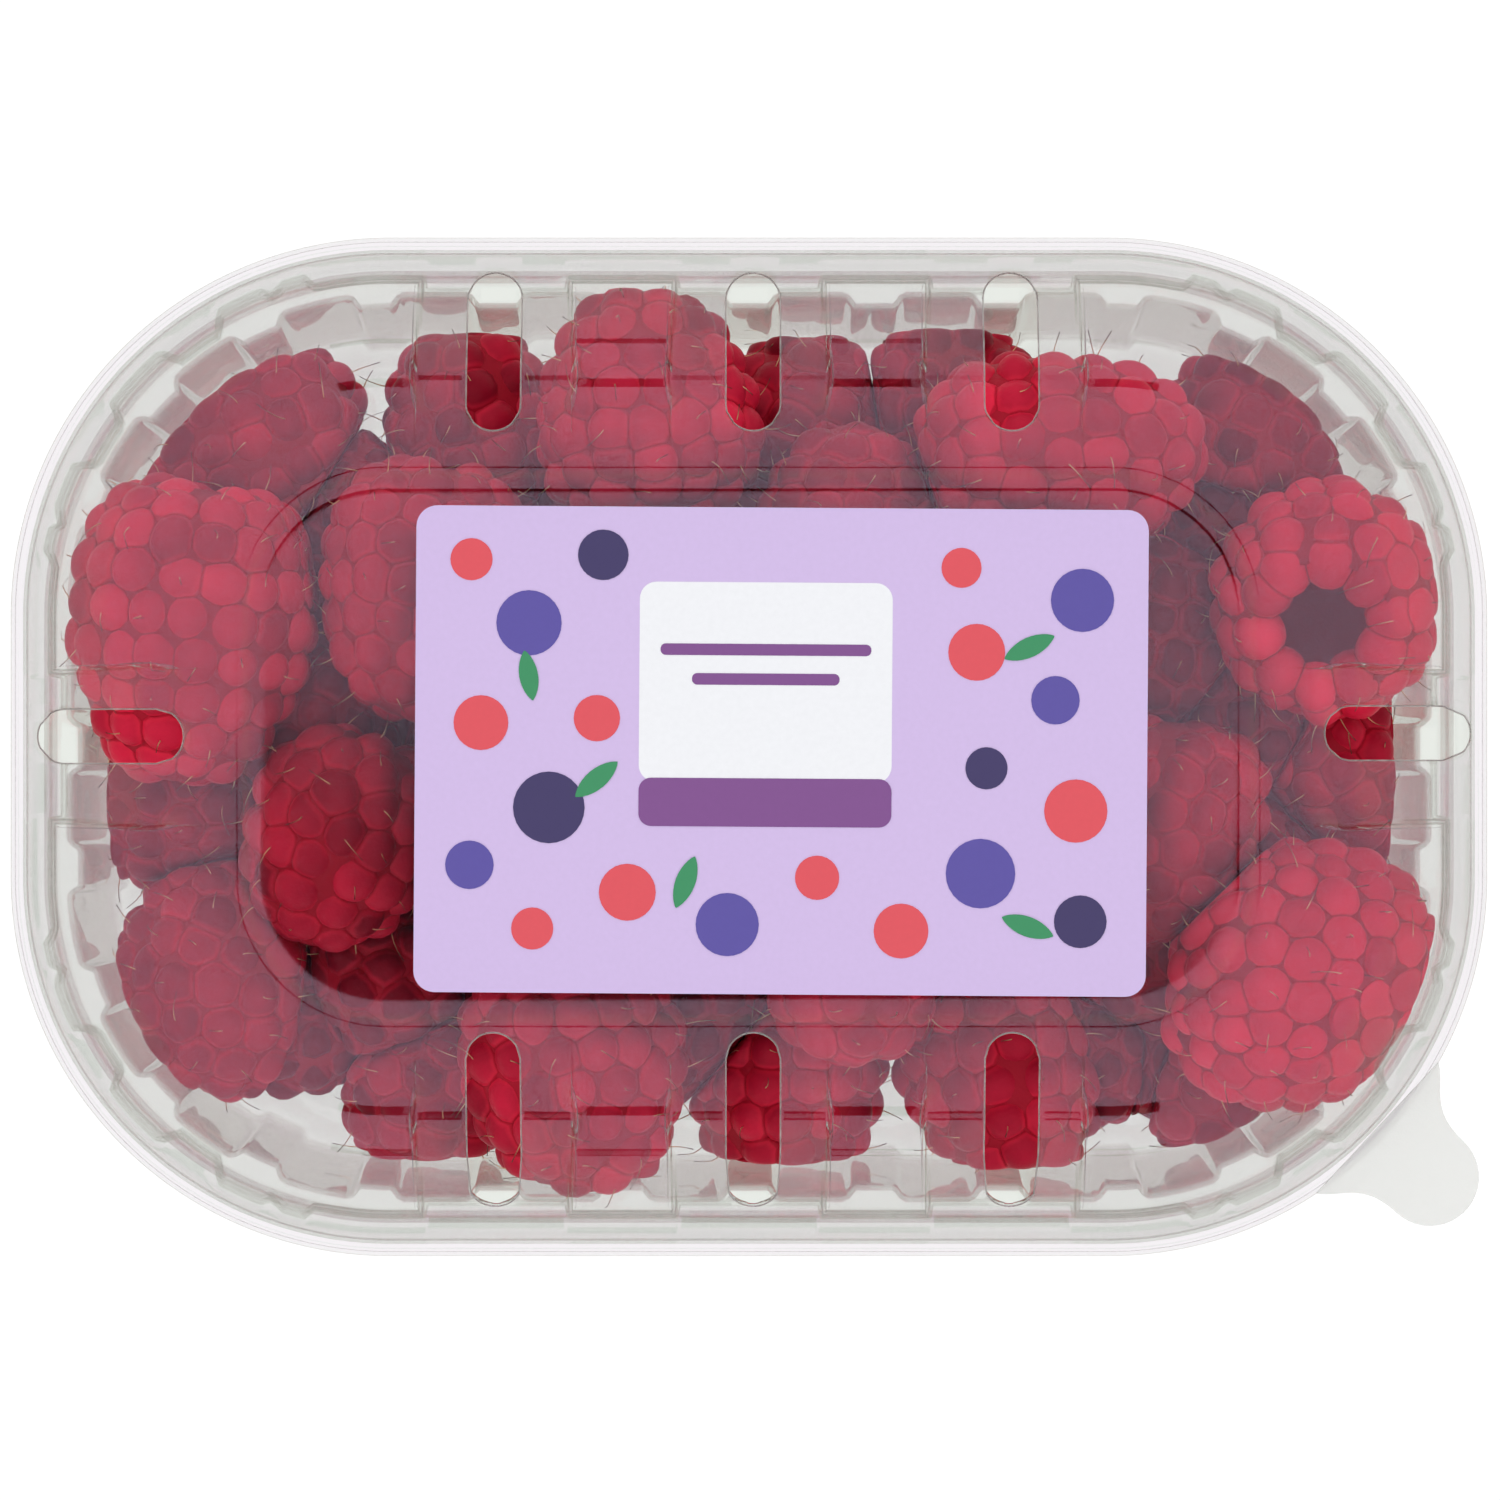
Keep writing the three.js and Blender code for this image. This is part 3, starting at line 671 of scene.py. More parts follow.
def tab_outline():
    """The tab's edge in its own frame: a flaring curve, an arc of 180 degrees, and the curve
    mirrored back. The flare is a cubic curve that leaves the root along the rim and reaches the
    lobe along the tab."""
    t = np.linspace(0.0, 1.0, FLARE_STEPS)[:, None]
    knots = np.array([[CORNER - 1.2, -TAB_ROOT], [CORNER + 0.9, -TAB_ROOT + 1.4],
                      [CORNER + 1.2, -TAB_RADIUS], [TAB_REACH, -TAB_RADIUS]])
    flare = ((1 - t) ** 3 * knots[0] + 3 * t * (1 - t) ** 2 * knots[1]
             + 3 * t**2 * (1 - t) * knots[2] + t**3 * knots[3])
    turn = np.linspace(-np.pi / 2, np.pi / 2, LOBE_STEPS)[1:-1]
    lobe = np.stack([TAB_REACH + TAB_RADIUS * np.cos(turn), TAB_RADIUS * np.sin(turn)], axis=1)
    return np.concatenate([flare, lobe, (flare * [1, -1])[::-1]])


def closed_plate(outline, bottom, top, rings=3):
    """A flat plate from an anticlockwise outline. Rings of points run from the middle of the
    top to its edge, over the edge and back to the middle of the bottom."""
    middle = outline.mean(axis=0)
    shares = np.linspace(0.0, 1.0, rings + 1)[1:]
    layers = [(share, top) for share in shares] + [(share, bottom) for share in shares[::-1]]
    rings = [np.column_stack([middle + (outline - middle) * share, np.full(len(outline), z)])
             for share, z in layers]
    return closed_rings(np.stack(rings), [[*middle, top], [*middle, bottom]])


def plate_piece(name, outline, bottom, top, material, slot, node):
    """A plate as a piece of its own."""
    points, faces = closed_plate(outline, bottom, top)
    return new_piece(name, points, faces, material, slot, node, smooth=False)


def turned(outline, angle):
    """An outline turned anticlockwise about the origin."""
    c, s = np.cos(angle), np.sin(angle)
    return outline @ np.array([[c, s], [-s, c]])


tab_edge = turned(tab_outline(), TAB_ANGLE) + [STRAIGHT_X, -STRAIGHT_Y]
plate_piece("pull_tab", tab_edge, FLANGE_TOP - 0.45, FLANGE_TOP - 0.02,
            make_frosted_material(), "lid_plastic", "lid")

# %% [markdown]
# ## The label
#
# The label is coated paper with rounded corners, stuck a little askew on the lid's panel. Its
# print is a plain design of this part's own: a lilac ground, a white field with a purple band,
# and loose round spots and green leaves. Each field is a very thin layer of ink, and its colour
# is stored at its points.

# %% Label and print
LABEL_MIDDLE, LABEL_TURN = np.array([3.05, -0.4]), np.radians(-0.4)
LABEL_SIZE, LABEL_RADIUS = (69.5, 46.2), 2.0
LABEL_BOTTOM, PAPER, INK = 41.0, 0.16, 0.025


def round_box(width, height, radius, x=0.0, y=0.0, steps=8):
    """A rectangle whose corners are quarter circles, anticlockwise."""
    turn = np.linspace(0, np.pi / 2, steps)
    parts = []
    for k, (sx, sy) in enumerate([(1, 1), (-1, 1), (-1, -1), (1, -1)]):
        a = turn + k * np.pi / 2
        parts.append(np.stack([x + sx * (width / 2 - radius) + radius * np.cos(a),
                               y + sy * (height / 2 - radius) + radius * np.sin(a)], axis=1))
    return np.concatenate(parts)


def ellipse(x, y, long, wide, heading=0.0, point=1.0, steps=28):
    """An ellipse with half axes long and wide: (long cos a, wide sin^point a). A point above 1
    makes its two ends sharp."""
    a = around(steps)
    side = np.sin(a) * np.abs(np.sin(a)) ** (point - 1)
    return turned(np.stack([long * np.cos(a), wide * side], axis=1), np.radians(heading)) + [x, y]


def on_label(outline):
    """Turn and shift an outline from the label's own frame to the pack's."""
    return turned(outline, LABEL_TURN) + LABEL_MIDDLE


def make_paper_material(name, ground=None):
    """Coated paper: a ground colour, or the ink stored at the points, made up to 3% lighter or
    darker by the fibres."""
    material, tree, out = new_material(name)
    place = add(tree, "TexCoord").outputs["Object"]
    fibre = add(tree, "TexNoise", Vector=place, Scale=1800.0, Detail=2.0)
    tone = add(tree, "MapRange", Value=fibre.outputs[0], To_Min=0.97, To_Max=1.03)
    if ground is None:
        base = add(tree, "Attribute", {"attribute_name": "ink"}).outputs["Color"]
    else:
        base = add(tree, "RGB").outputs[0]
        base.default_value = ground
    shade = add(tree, "VectorMath", {"operation": "SCALE"}, at_0=base, Scale=tone.outputs[0])
    bump = add(tree, "Bump", Strength=0.08, Distance=0.0001, Height=fibre.outputs[0])
    skin = add(tree, "BsdfPrincipled", Base_Color=shade.outputs[0], Roughness=0.45, IOR=1.5,
               Normal=bump.outputs[0])
    tree.links.new(skin.outputs[0], out.inputs["Surface"])
    return material


LILAC, WHITE, PLUM, LEAF = "cbb5e0", "e9eaee", "7a4688", "2f8a5a"
INDIGO, CORAL, NAVY = "54489c", "d94a55", "352a5e"
SPOTS = {                # x, y and radius of the spots of each colour
    INDIGO: [(-24.0, 12.0, 3.1), (-29.5, -11.0, 2.3), (-5.0, -16.5, 3.0), (19.0, -11.5, 3.3),
             (26.0, 5.0, 2.3), (28.5, 14.5, 3.0)],
    CORAL: [(-17.5, 3.0, 2.2), (-28.5, 2.5, 2.6), (-14.5, -13.5, 2.7), (-23.5, -17.0, 2.0),
            (3.5, -12.0, 2.1), (11.5, -17.0, 2.6), (28.0, -5.5, 3.0), (18.5, 9.5, 2.7),
            (17.0, 17.5, 1.9), (-29.5, 18.0, 2.0)],
    NAVY: [(-22.0, -5.5, 3.4), (28.5, -16.0, 2.5), (19.5, -1.5, 2.0), (-17.0, 18.5, 2.4)],
}
LEAVES = [               # x, y, half length, half width and heading
    (-17.5, -2.8, 2.6, 0.95, 40), (-9.0, -12.5, 2.6, 0.95, 70), (23.5, -16.5, 2.6, 0.95, -20),
    (23.5, 10.0, 2.6, 0.95, 25), (-24.0, 7.0, 2.4, 0.9, 100),
]
PAPER_TOP = LABEL_BOTTOM + PAPER


def print_fields():
    """Every field of ink as its outline, its colour and how many layers of ink it is high: the
    white field lies lowest, then come the bars and spots, and the leaves lie on top."""
    fields = [(round_box(24.0, 19.0, 1.6, -1.5, 6.5), WHITE, 1),
              (round_box(20.0, 1.1, 0.5, -1.5, 9.6), PLUM, 2),
              (round_box(14.0, 1.1, 0.5, -1.5, 6.8), PLUM, 2),
              (round_box(24.0, 4.6, 1.2, -1.5, -4.9), PLUM, 2)]
    fields += [(ellipse(x, y, radius, radius), spot, 2)
               for spot, places in SPOTS.items() for x, y, radius in places]
    return fields + [(ellipse(*leaf, point=1.6), LEAF, 3) for leaf in LEAVES]


def make_print():
    """All ink fields as one mesh, with the colour at the points."""
    fields = print_fields()
    plates = [closed_plate(on_label(shape), PAPER_TOP - 0.02, PAPER_TOP + INK * layers)
              for shape, _, layers in fields]
    colours = [np.tile(colour(ink), (len(points), 1))
               for (points, _), (_, ink, _) in zip(plates, fields)]
    piece = new_piece("label_print", *join_parts(plates), make_paper_material("label_ink"),
                      "label_paper", "label", smooth=False)
    attribute = piece.data.attributes.new("ink", "FLOAT_COLOR", "POINT")
    attribute.data.foreach_set("color", np.concatenate(colours).ravel())


plate_piece("label_paper", on_label(round_box(*LABEL_SIZE, LABEL_RADIUS)), LABEL_BOTTOM,
            PAPER_TOP, make_paper_material("coated_label_paper", colour(LILAC)), "label_paper",
            "label")
make_print()

# %% [markdown]
# ## The berries
#
# A raspberry is a thimble of drupelets: about a hundred small fruits in eight or nine rows, each
# a bead of 3.5 to 4.5 mm that is full of juice. The plug that held them stays on the plant, so
# the base is hollow. In the punnet they press on each other and on the plastic, so their sides
# are a little flat. The list says where each berry lies (its middle, in mm), its length and
# width, where its tip points, seen from above, and how far the tip is lifted, in degrees.

# %% The list of berries
SHOWN = 24               # the first berries show from above; the next lie under the label
BERRIES = [
    # x, y, z, length, width, heading, lift
    (-54, 11.2, 24.5, 31, 25.5, 262, -4), (-48.5, 28.5, 12.5, 25, 20.5, 200, -8),
    (-27, 31, 13, 22, 19.5, 100, 10), (-9.8, 32.8, 26.5, 25, 22, 95, -8),
    (5, 31.5, 11, 22, 19.5, 60, -10), (19.5, 34, 11.5, 21, 19, 90, 10),
    (30, 28, 27.5, 29, 21.5, 5, 0), (50, 31, 12, 23, 20.5, 60, -15),
    (56.2, 15, 24, 24, 23.5, 72, -66), (-31.5, 15, 26.5, 26, 21, 262, 4),
    (-39.5, -9, 23.5, 23, 20.5, 245, -6), (-52, -22.3, 15, 25, 22, 80, 8),
    (-56.5, -5, 10.5, 22, 20, 175, 0), (-31.5, -32.5, 11, 22, 19.5, 260, -10),
    (-16.9, -31.8, 24, 25.5, 22.5, 278, -6), (3.5, -33.5, 11.5, 22.5, 20.5, 270, -8),
    (10, -19.8, 27.5, 23, 20, 268, 4), (25, -32, 14, 24.5, 21.5, 280, 10),
    (54, -21.8, 25, 29, 27, 3, -4), (47, -31.5, 10.5, 21, 18.5, 250, 5),
    (40.5, -8, 24, 23, 20, 265, 0), (58, -2.5, 11.5, 22, 20, 300, -10),
    (39.5, 10.5, 14.5, 23, 21, 80, 0), (9.8, 20.5, 27, 22.5, 20, 85, 0),
    (-11.5, 9.5, 27, 23, 20.5, 30, 0), (7.5, 1.5, 28, 22.5, 20, 150, 5),
    (26.5, 7.5, 27, 23, 20.5, 330, 0), (-21.5, -10, 25.5, 24, 21, 200, 0),
    (25.5, -10, 26, 23, 20.5, 100, 0), (-4.5, -13.5, 17.5, 22, 20, 20, 0),
    (-45, 14.5, 10, 20.5, 18.5, 120, 0), (-26.5, 4, 10, 21, 19, 340, 0),
    (-29.5, -15, 10, 21, 19, 60, 0), (-13, 22.5, 10, 21.5, 19, 180, 0),
    (-7.5, 3, 10.5, 21, 19.5, 80, 0), (-17, -23, 10, 21, 19, 150, 0),
    (14.5, 14.5, 10.5, 21.5, 19.5, 220, 0), (13, -9.5, 10.5, 21.5, 19.5, 10, 0),
    (34.5, -9.5, 10, 21, 19, 130, 0), (-43, -25.5, 10, 20.5, 18.5, 5, 0),
    (33, -28.5, 10, 19.5, 18, 310, 0),
]
OPEN_BERRY = 8           # its base looks up, so its hollow shows
PALER = {0: 0.14, 6: 0.12, 8: 0.28, 18: 0.34}    # how much paler the less ripe berries are
FILLERS = [              # berries deep in the heap, where it has its core
    (-42, 3, 15, 20, 18, 70, 0), (47, 22, 11, 19, 18, 200, 0), (48, 3, 13, 20, 18, 100, 0),
    (38, -20, 13, 20, 18, 160, 0), (-5.5, -26, 12, 20, 18, 20, 0), (-2, 20, 13, 20, 18, 60, 0),
    (-36, -22, 14, 20, 18, 130, 0), (-38, 22, 12, 19, 18, 250, 0), (22, 21, 13, 20, 18, 0, 0),
    (48.5, -11.5, 13, 20, 18, 120, 0), (40, -28.5, 8.5, 17, 15, 80, 0),
]
berry_list = np.array(BERRIES + FILLERS, float)
print(len(berry_list), "berries, mean length", berry_list[:, 3].mean().round(1), "mm")

# %% [markdown]
# The room for the berries has a wall whose inset depends on the height, and a roof and a floor.
# A soft limit acts like an elastic skin: far below the limit nothing moves, near it the shape
# flattens, and it is never passed.

# %% The room and the neighbours
ROOM_Z = [0.8, 1.9, 25.7, 27.2, 31.0, 32.8, 37.1, 39.8]
ROOM_INSET = [11.3, 10.3, 7.0, 4.6, 4.6, 6.2, 11.7, 16.9]
TOUCH = 0.2              # berries that overlap by less than this don't press
BERRY_GIVE, FLAT_GIVE, WALL_GIVE = 0.5, 0.35, 0.4    # how softly each of them presses


def soft_limit(value, limit, give):
    """limit - give * ln(1 + exp((limit - value) / give)): close to value when it is well below
    the limit, and always below the limit."""
    return limit - give * np.logaddexp(0.0, (limit - value) / give)


def axis_of(berry):
    """Unit vector from base to tip, from the heading and the lift."""
    turn, rise = np.radians(berry[5]), np.radians(berry[6])
    return np.array([np.cos(rise) * np.cos(turn), np.cos(rise) * np.sin(turn), np.sin(rise)])


def reach_towards(berry, direction):
    """How far the berry reaches from its middle: the support of an ellipsoid with the berry's
    length and width, which is sqrt((length d_axis)^2 + (width d_side)^2) / 2."""
    along = axis_of(berry) @ direction
    return 0.5 * np.hypot(berry[3] * along, berry[4] * np.sqrt(max(0.0, 1 - along**2)))


def pressed(points, index):
    """Flatten a berry's points where neighbours, the roof, the floor and the wall press. Two
    berries share the overlap of their ellipsoids, and each gives way by half of it."""
    me = berry_list[index]
    for other in np.delete(berry_list, index, axis=0):
        link = other[:3] - me[:3]
        apart = np.linalg.norm(link)
        direction = link / apart
        mine, theirs = reach_towards(me, direction), reach_towards(other, -direction)
        overlap = mine + theirs - apart
        if overlap < TOUCH:
            continue
        along = (points - me[:3]) @ direction
        new = soft_limit(along, mine - overlap / 2, BERRY_GIVE)
        points = points + (np.minimum(new - along, 0.0) * (along > 0))[:, None] * direction
    points[:, 2] = soft_limit(points[:, 2], ROOM_Z[-1], FLAT_GIVE)
    points[:, 2] = -soft_limit(-points[:, 2], -ROOM_Z[0], FLAT_GIVE)
    inset, in_x, in_y = inset_of(points[:, 0], points[:, 1])
    wall = np.interp(points[:, 2], ROOM_Z, ROOM_INSET)
    move = -soft_limit(-inset, -wall, WALL_GIVE) - inset
    points[:, 0] += in_x * move
    points[:, 1] += in_y * move
    return points


# %% [markdown]
# A berry starts from its outline: a half wave from base to tip, fuller near the base. Drupelets
# are set on rings along it, as many on each ring as fit, and each ring is turned by half a step
# against the last, and a little at random. Every drupelet is an ellipsoid that is wider than its
# share of the ring, so that neighbours run into each other and leave a tight crease. Its
# underside has fewer rings, because it is hidden in the berry. A thimble-shaped core fills the
# space below the creases.

# %% Shape of a berry
DRUPELET_WIDTH, DRUPELET_LENGTH, DRUPELET_HEIGHT = 4.2, 4.5, 2.7
RING_STEP = 0.9          # of a drupelet's length, from ring to ring
HUB = 1.2                # a ring of drupelets is counted this far below the outline
HALF_WIDTHS = (1.3, 2.6)                 # the narrowest and the widest
SLOPE_REACH = 0.2        # the outline's slope is measured over this distance both ways
OPEN_MOUTH, SHUT_MOUTH = 0.12, 0.05      # where on the outline the rings begin
TOP_LAYER = 27.0         # height of the upper berries' middles
DEEP_INSIDE = 20.0       # from the rim: further in, the heap shades its lower berries
CORE_INSET, CORE_LENGTH = 1.15, 0.95     # in mm, and as a share of the berry's length
HOLLOW_DEPTH, HOLLOW_WIDTH = 0.5, 0.86   # shares of the berry's length and of the core's mouth
PLUMP_WIDE, PLUMP_LONG = 1.22, 1.18      # how far a drupelet outgrows its place
# The core shows only at the bottom of the creases, so its darker tone is painted shade.
TONE, CORE_SHADE_TONE = 0.56, 0.8              # a higher tone is a darker red
SHADE_INNER, SHADE_OUTER = 0.8, 0.2      # how much darker the lowest berries get
FAR = 9.0                # a gap that counts as none
rng = np.random.default_rng(12)


def berry_outline(share, length, width):
    """Half a wave: z goes as -cos and the radius as sin^0.72, and it tapers to the tip."""
    height = -np.cos(np.pi * share) / 2
    radius = width / 2 * np.sin(np.pi * share) ** 0.72 * (1.03 - 0.3 * (height + 0.1))
    return radius, height * length


def ring_places(length, width, mouth):
    """Drupelet centres on the outline: ring after ring by distance along the outline, and on
    each ring a whole number of drupelets. Returns positions, outward directions, directions
    along the outline, and half widths."""
    share = np.linspace(0.0, 1.0, 400)
    radius, z = berry_outline(share, length, width)
    steps = np.hypot(np.diff(radius), np.diff(z))
    path = np.concatenate([[0.0], np.cumsum(steps)])
    first = path[np.searchsorted(share, mouth)]
    count = int(round((path[-1] - first) / (DRUPELET_LENGTH * RING_STEP)))
    at = first + (np.arange(count) + 0.35) * (path[-1] - first) / count
    places, turns = [], rng.uniform(0, 2 * np.pi)
    for distance in at:
        reach = distance + SLOPE_REACH * np.array([-1, 0, 1])
        (r0, r, r1), (z0, zz, z1) = np.interp(reach, path, radius), np.interp(reach, path, z)
        size = np.hypot(r1 - r0, z1 - z0)
        slope_r, slope_z = (r1 - r0) / size, (z1 - z0) / size
        number = max(1, int(round(2 * np.pi * max(r - HUB, 0.0) / DRUPELET_WIDTH)))
        turns += np.pi / number + rng.normal(0, 0.05)
        angle = turns + around(number) + rng.normal(0, 0.06, number) * (2 * np.pi / number)
        half = np.clip(np.pi * max(r - HUB, HUB / 2) / number, *HALF_WIDTHS)
        places += [(r, zz, a, slope_r, slope_z, half) for a in angle]
    return np.array(places)


def turned_rings(radius, z, segments):
    """A profile turned about the axis: (r cos a, r sin a, z) for every row and angle."""
    turn = around(segments)
    return np.stack([radius[:, None] * np.cos(turn), radius[:, None] * np.sin(turn),
                     z[:, None] + 0 * turn], axis=-1)


def unit_bead(segments, polar):
    """A closed unit ball with its rings at the given polar angles and a pole at either end."""
    polar = np.radians(polar)
    rings = turned_rings(np.sin(polar), np.cos(polar), segments)
    return closed_rings(rings, [[0, 0, 1], [0, 0, -1]])


FINE_BEAD = unit_bead(14, [14, 31, 48, 66, 86, 118])
COARSE_BEAD = unit_bead(8, [24, 52, 84, 125])


def many(points, faces, count):
    """Faces of count copies of a shape, whose points follow each other."""
    shift = (np.arange(count) * len(points))[:, None, None]
    return np.where(faces[None] >= 0, faces[None] + shift, -1).reshape(-1, 4)


def berry_core(length, width, mouth, segments=22):
    """A thimble: the outline moved in, from the tip to the mouth at the base, and then up into
    the hollow, as one closed profile turned about the axis. The hollow is half as deep as the
    berry is long, and narrows as 1 - share^4."""
    r, z = berry_outline(np.linspace(1.0, mouth + 0.05, 14), length, width)
    outer = np.stack([np.maximum(r - CORE_INSET, 0.0), z * CORE_LENGTH], axis=1)
    into = np.linspace(0.0, 1.0, 9)[1:]
    inner = np.stack([outer[-1, 0] * HOLLOW_WIDTH * (1 - into**4) + 0.02,
                      outer[-1, 1] + 0.4 + into * length * HOLLOW_DEPTH], axis=1)
    rings = turned_rings(*np.concatenate([outer[1:], inner[:-1]]).T, segments)
    return closed_rings(rings, [[0, 0, outer[0, 1]], [0, 0, inner[-1, 1]]])


def berry_frame(axis):
    """Columns are three directions at right angles: two sides and the axis."""
    side = np.cross([0.0, 0.0, 1.0], axis)
    side = side / np.linalg.norm(side) if np.linalg.norm(side) > 0.05 else np.array([1.0, 0, 0])
    return np.stack([side, np.cross(axis, side), axis], axis=1)


def crease_gaps(points, middle, axes, halves):
    """How far each point of a drupelet is from its nearest neighbour, in mm. In a neighbour's
    own frame, a point at (x, y, z) has the level sqrt((x/a)^2 + (y/b)^2 + (z/c)^2), which is 1
    on its skin, so (level - 1) times the mean half width is close to the distance."""
    gaps = np.full(points.shape[:2], FAR)
    for k in range(len(middle)):
        away = (points - middle[k]) @ axes[k].T / halves[k]
        level = np.linalg.norm(away, axis=2)
        level[k] = FAR
        gaps = np.minimum(gaps, (level - 1.0) * halves[k].mean())
    return gaps


def make_berry(index):
    """One berry: drupelets and core in place, with a tone for every point and how far it lies
    from the nearest crease. A berry deep in the heap gets less light, so its tone is darker."""
    berry = berry_list[index]
    length, width = berry[3:5]
    bead, bead_faces = FINE_BEAD if index < SHOWN else COARSE_BEAD
    mouth = OPEN_MOUTH if index == OPEN_BERRY else SHUT_MOUTH
    r, z, angle, slope_r, slope_z, half = ring_places(length, width, mouth).T
    count = len(r)
    c, s = np.cos(angle), np.sin(angle)
    out = np.stack([c * slope_z, s * slope_z, -slope_r], axis=1)
    along = np.stack([c * slope_r, s * slope_r, slope_z], axis=1)
    out = out + rng.normal(0, 0.08, (count, 3))
    out /= np.linalg.norm(out, axis=1, keepdims=True)
    along -= out * (out * along).sum(axis=1, keepdims=True)
    along /= np.linalg.norm(along, axis=1, keepdims=True)
    across = np.cross(along, out)
    wide = half * PLUMP_WIDE * rng.normal(1.0, 0.06, count)
    tall = DRUPELET_LENGTH / 2 * PLUMP_LONG * rng.normal(1.0, 0.06, count)
    high = DRUPELET_HEIGHT * rng.normal(1.0, 0.05, count)
    sunk = high + rng.normal(0.1, 0.16, count)
    middle = np.stack([r * c, r * s, z], axis=1) - out * sunk[:, None]
    local = (bead[None, :, 0:1] * (wide[:, None] * across)[:, None]
             + bead[None, :, 1:2] * (tall[:, None] * along)[:, None]
             + bead[None, :, 2:3] * (high[:, None] * out)[:, None])
    points = middle[:, None] + local
    gap = crease_gaps(points, middle, np.stack([across, along, out], axis=1),
                      np.stack([wide, tall, high], axis=1)).ravel()
    points = points.reshape(-1, 3)
    depth = np.clip((TOP_LAYER - berry[2]) / TOP_LAYER, 0.0, 1.0)
    inner = index >= SHOWN or inset_of(*berry[:2])[0] > DEEP_INSIDE
    darker = (SHADE_INNER if inner else SHADE_OUTER) * depth
    tone = np.repeat(rng.normal(TONE, 0.09, count), len(bead)) + rng.normal(0, 0.07) + darker
    tone -= PALER.get(index, 0.0)
    core, core_faces = berry_core(length, width, mouth)
    points, faces = join_parts([(points, many(bead, bead_faces, count)), (core, core_faces)])
    # Painted shade: the core lies in the creases, so its gap is 0 and it takes the full crease
    # shade.
    gap = np.concatenate([gap, np.zeros(len(core))])      # the core lies in the creases
    tone = np.concatenate([tone, np.full(len(core), CORE_SHADE_TONE)])
    tips = middle + out * high[:, None]
    frame_of = berry_frame(axis_of(berry))
    points = pressed(points @ frame_of.T + berry[:3], index)
    tips = pressed(tips @ frame_of.T + berry[:3], index)
    return points, faces, gap, tone, tips, out @ frame_of.T


# %% [markdown]
# Ripe raspberry skin is thin, and the juice under it is a deep crimson. Light goes in, spreads a
# millimetre or two and comes out redder. That glow is painted: each drupelet gets a painted
# lighter red rim next to its crease, and the crease itself gets painted shade. Skin with an IOR
# of about 1.4 keeps a soft shine, which the bloom and the down dull.

# %% Raspberry material
BRIGHT_RED, DEEP_CRIMSON = colour("f2264a"), colour("7e0720")
# Painted light: a lighter red glow next to each crease, and a darker red for painted shade in the
# crease.
PAINTED_RIM_GLOW, PAINTED_CREASE_SHADE = colour("ee2e4a"), colour("90081c")


def make_berry_material():
    """Bright to dark red by tone, with broad patches of 6 mm; the tone also holds the painted shade
    of berries deep in the heap. Towards a crease the colour goes to a painted glow of lighter red,
    and in the crease to a painted shade of darker red, by smooth steps of the gap in mm."""
    material, tree, out = new_material("ripe_raspberry")
    place = add(tree, "TexCoord").outputs["Object"]
    gap = add(tree, "Attribute", {"attribute_name": "gap"}).outputs["Fac"]
    tone = add(tree, "Attribute", {"attribute_name": "tone"}).outputs["Fac"]
    patch = add(tree, "TexNoise", Vector=place, Scale=160.0, Detail=2.0)
    # The tone holds ripeness and the painted shade of berries deep in the heap.
    ripe_and_shade = add(tree, "Math", {"operation": "MULTIPLY_ADD"}, at_0=patch.outputs[0], at_1=0.5,
               at_2=tone)
    ripeness_and_shade = add(tree, "MapRange", Value=ripe_and_shade.outputs[0], From_Min=0.35, From_Max=1.15)
    skin = add(tree, "Mix", {"data_type": "RGBA"}, Factor=ripeness_and_shade.outputs[0], A=BRIGHT_RED,
               B=DEEP_CRIMSON)
    # Painted glow: lighter red on a drupelet's rim, next to its crease.
    rim_light = add(tree, "MapRange", {"interpolation_type": "SMOOTHSTEP"}, Value=gap,
                    From_Min=0.75, From_Max=0.25, To_Max=0.35)
    rimmed = add(tree, "Mix", {"data_type": "RGBA"}, Factor=rim_light.outputs[0],
                 A=skin.outputs["Result"], B=PAINTED_RIM_GLOW)
    # Painted shade: darker red in the crease.
    crease = add(tree, "MapRange", {"interpolation_type": "SMOOTHSTEP"}, Value=gap,
                 From_Min=0.24, From_Max=0.05, To_Max=0.5)
    dark = add(tree, "Mix", {"data_type": "RGBA"}, Factor=crease.outputs[0],
               A=rimmed.outputs["Result"], B=PAINTED_CREASE_SHADE)
    grain = add(tree, "TexNoise", Vector=place, Scale=2600.0, Detail=2.0)
    bump = add(tree, "Bump", Strength=0.25, Distance=0.0002, Height=grain.outputs[0])
    body = add(tree, "BsdfPrincipled", Base_Color=dark.outputs["Result"], Roughness=0.45,
               IOR=1.4, Specular_IOR_Level=0.12, Normal=bump.outputs[0])
    tree.links.new(body.outputs[0], out.inputs["Surface"])
    return material


berry_skin = make_berry_material()
print("made", berry_skin.name)

# %% Build the heap
LEFT_OF, RIGHT_OF = -20, 27      # the shown berries are three pieces, parted at these x
hair_roots = []


def store(piece, name, values):
    """Keep one number for every point of a piece, for its material."""
    attribute = piece.data.attributes.new(name, "FLOAT", "POINT")
    attribute.data.foreach_set("value", values)


def heap_part(index):
    """The piece that a berry belongs to."""
    if index >= SHOWN:
        return "berries_below"
    x = berry_list[index, 0]
    return "berries_left" if x < LEFT_OF else "berries_right" if x > RIGHT_OF else "berries_middle"


for part in ("berries_left", "berries_middle", "berries_right", "berries_below"):
    built = [make_berry(k) for k in range(len(berry_list)) if heap_part(k) == part]
    points, faces, gaps, tones, tips, outs = zip(*built)
    heap = new_piece(part, *join_parts(list(zip(points, faces))), berry_skin, "raspberry",
                     "raspberries")
    store(heap, "gap", np.concatenate(gaps))
    store(heap, "tone", np.concatenate(tones))
    if part != "berries_below":
        hair_roots += zip(tips, outs)

# %% [markdown]
# ## Hairs
#
# The dried style of every drupelet's flower stays on its top as a tan hair of 1 to 3 mm, often
# bent and with a dark end. About a quarter of them are lost in picking. Each is a thin tapered
# rod of three sides along a curve, and its colour runs from straw to brown towards the end.

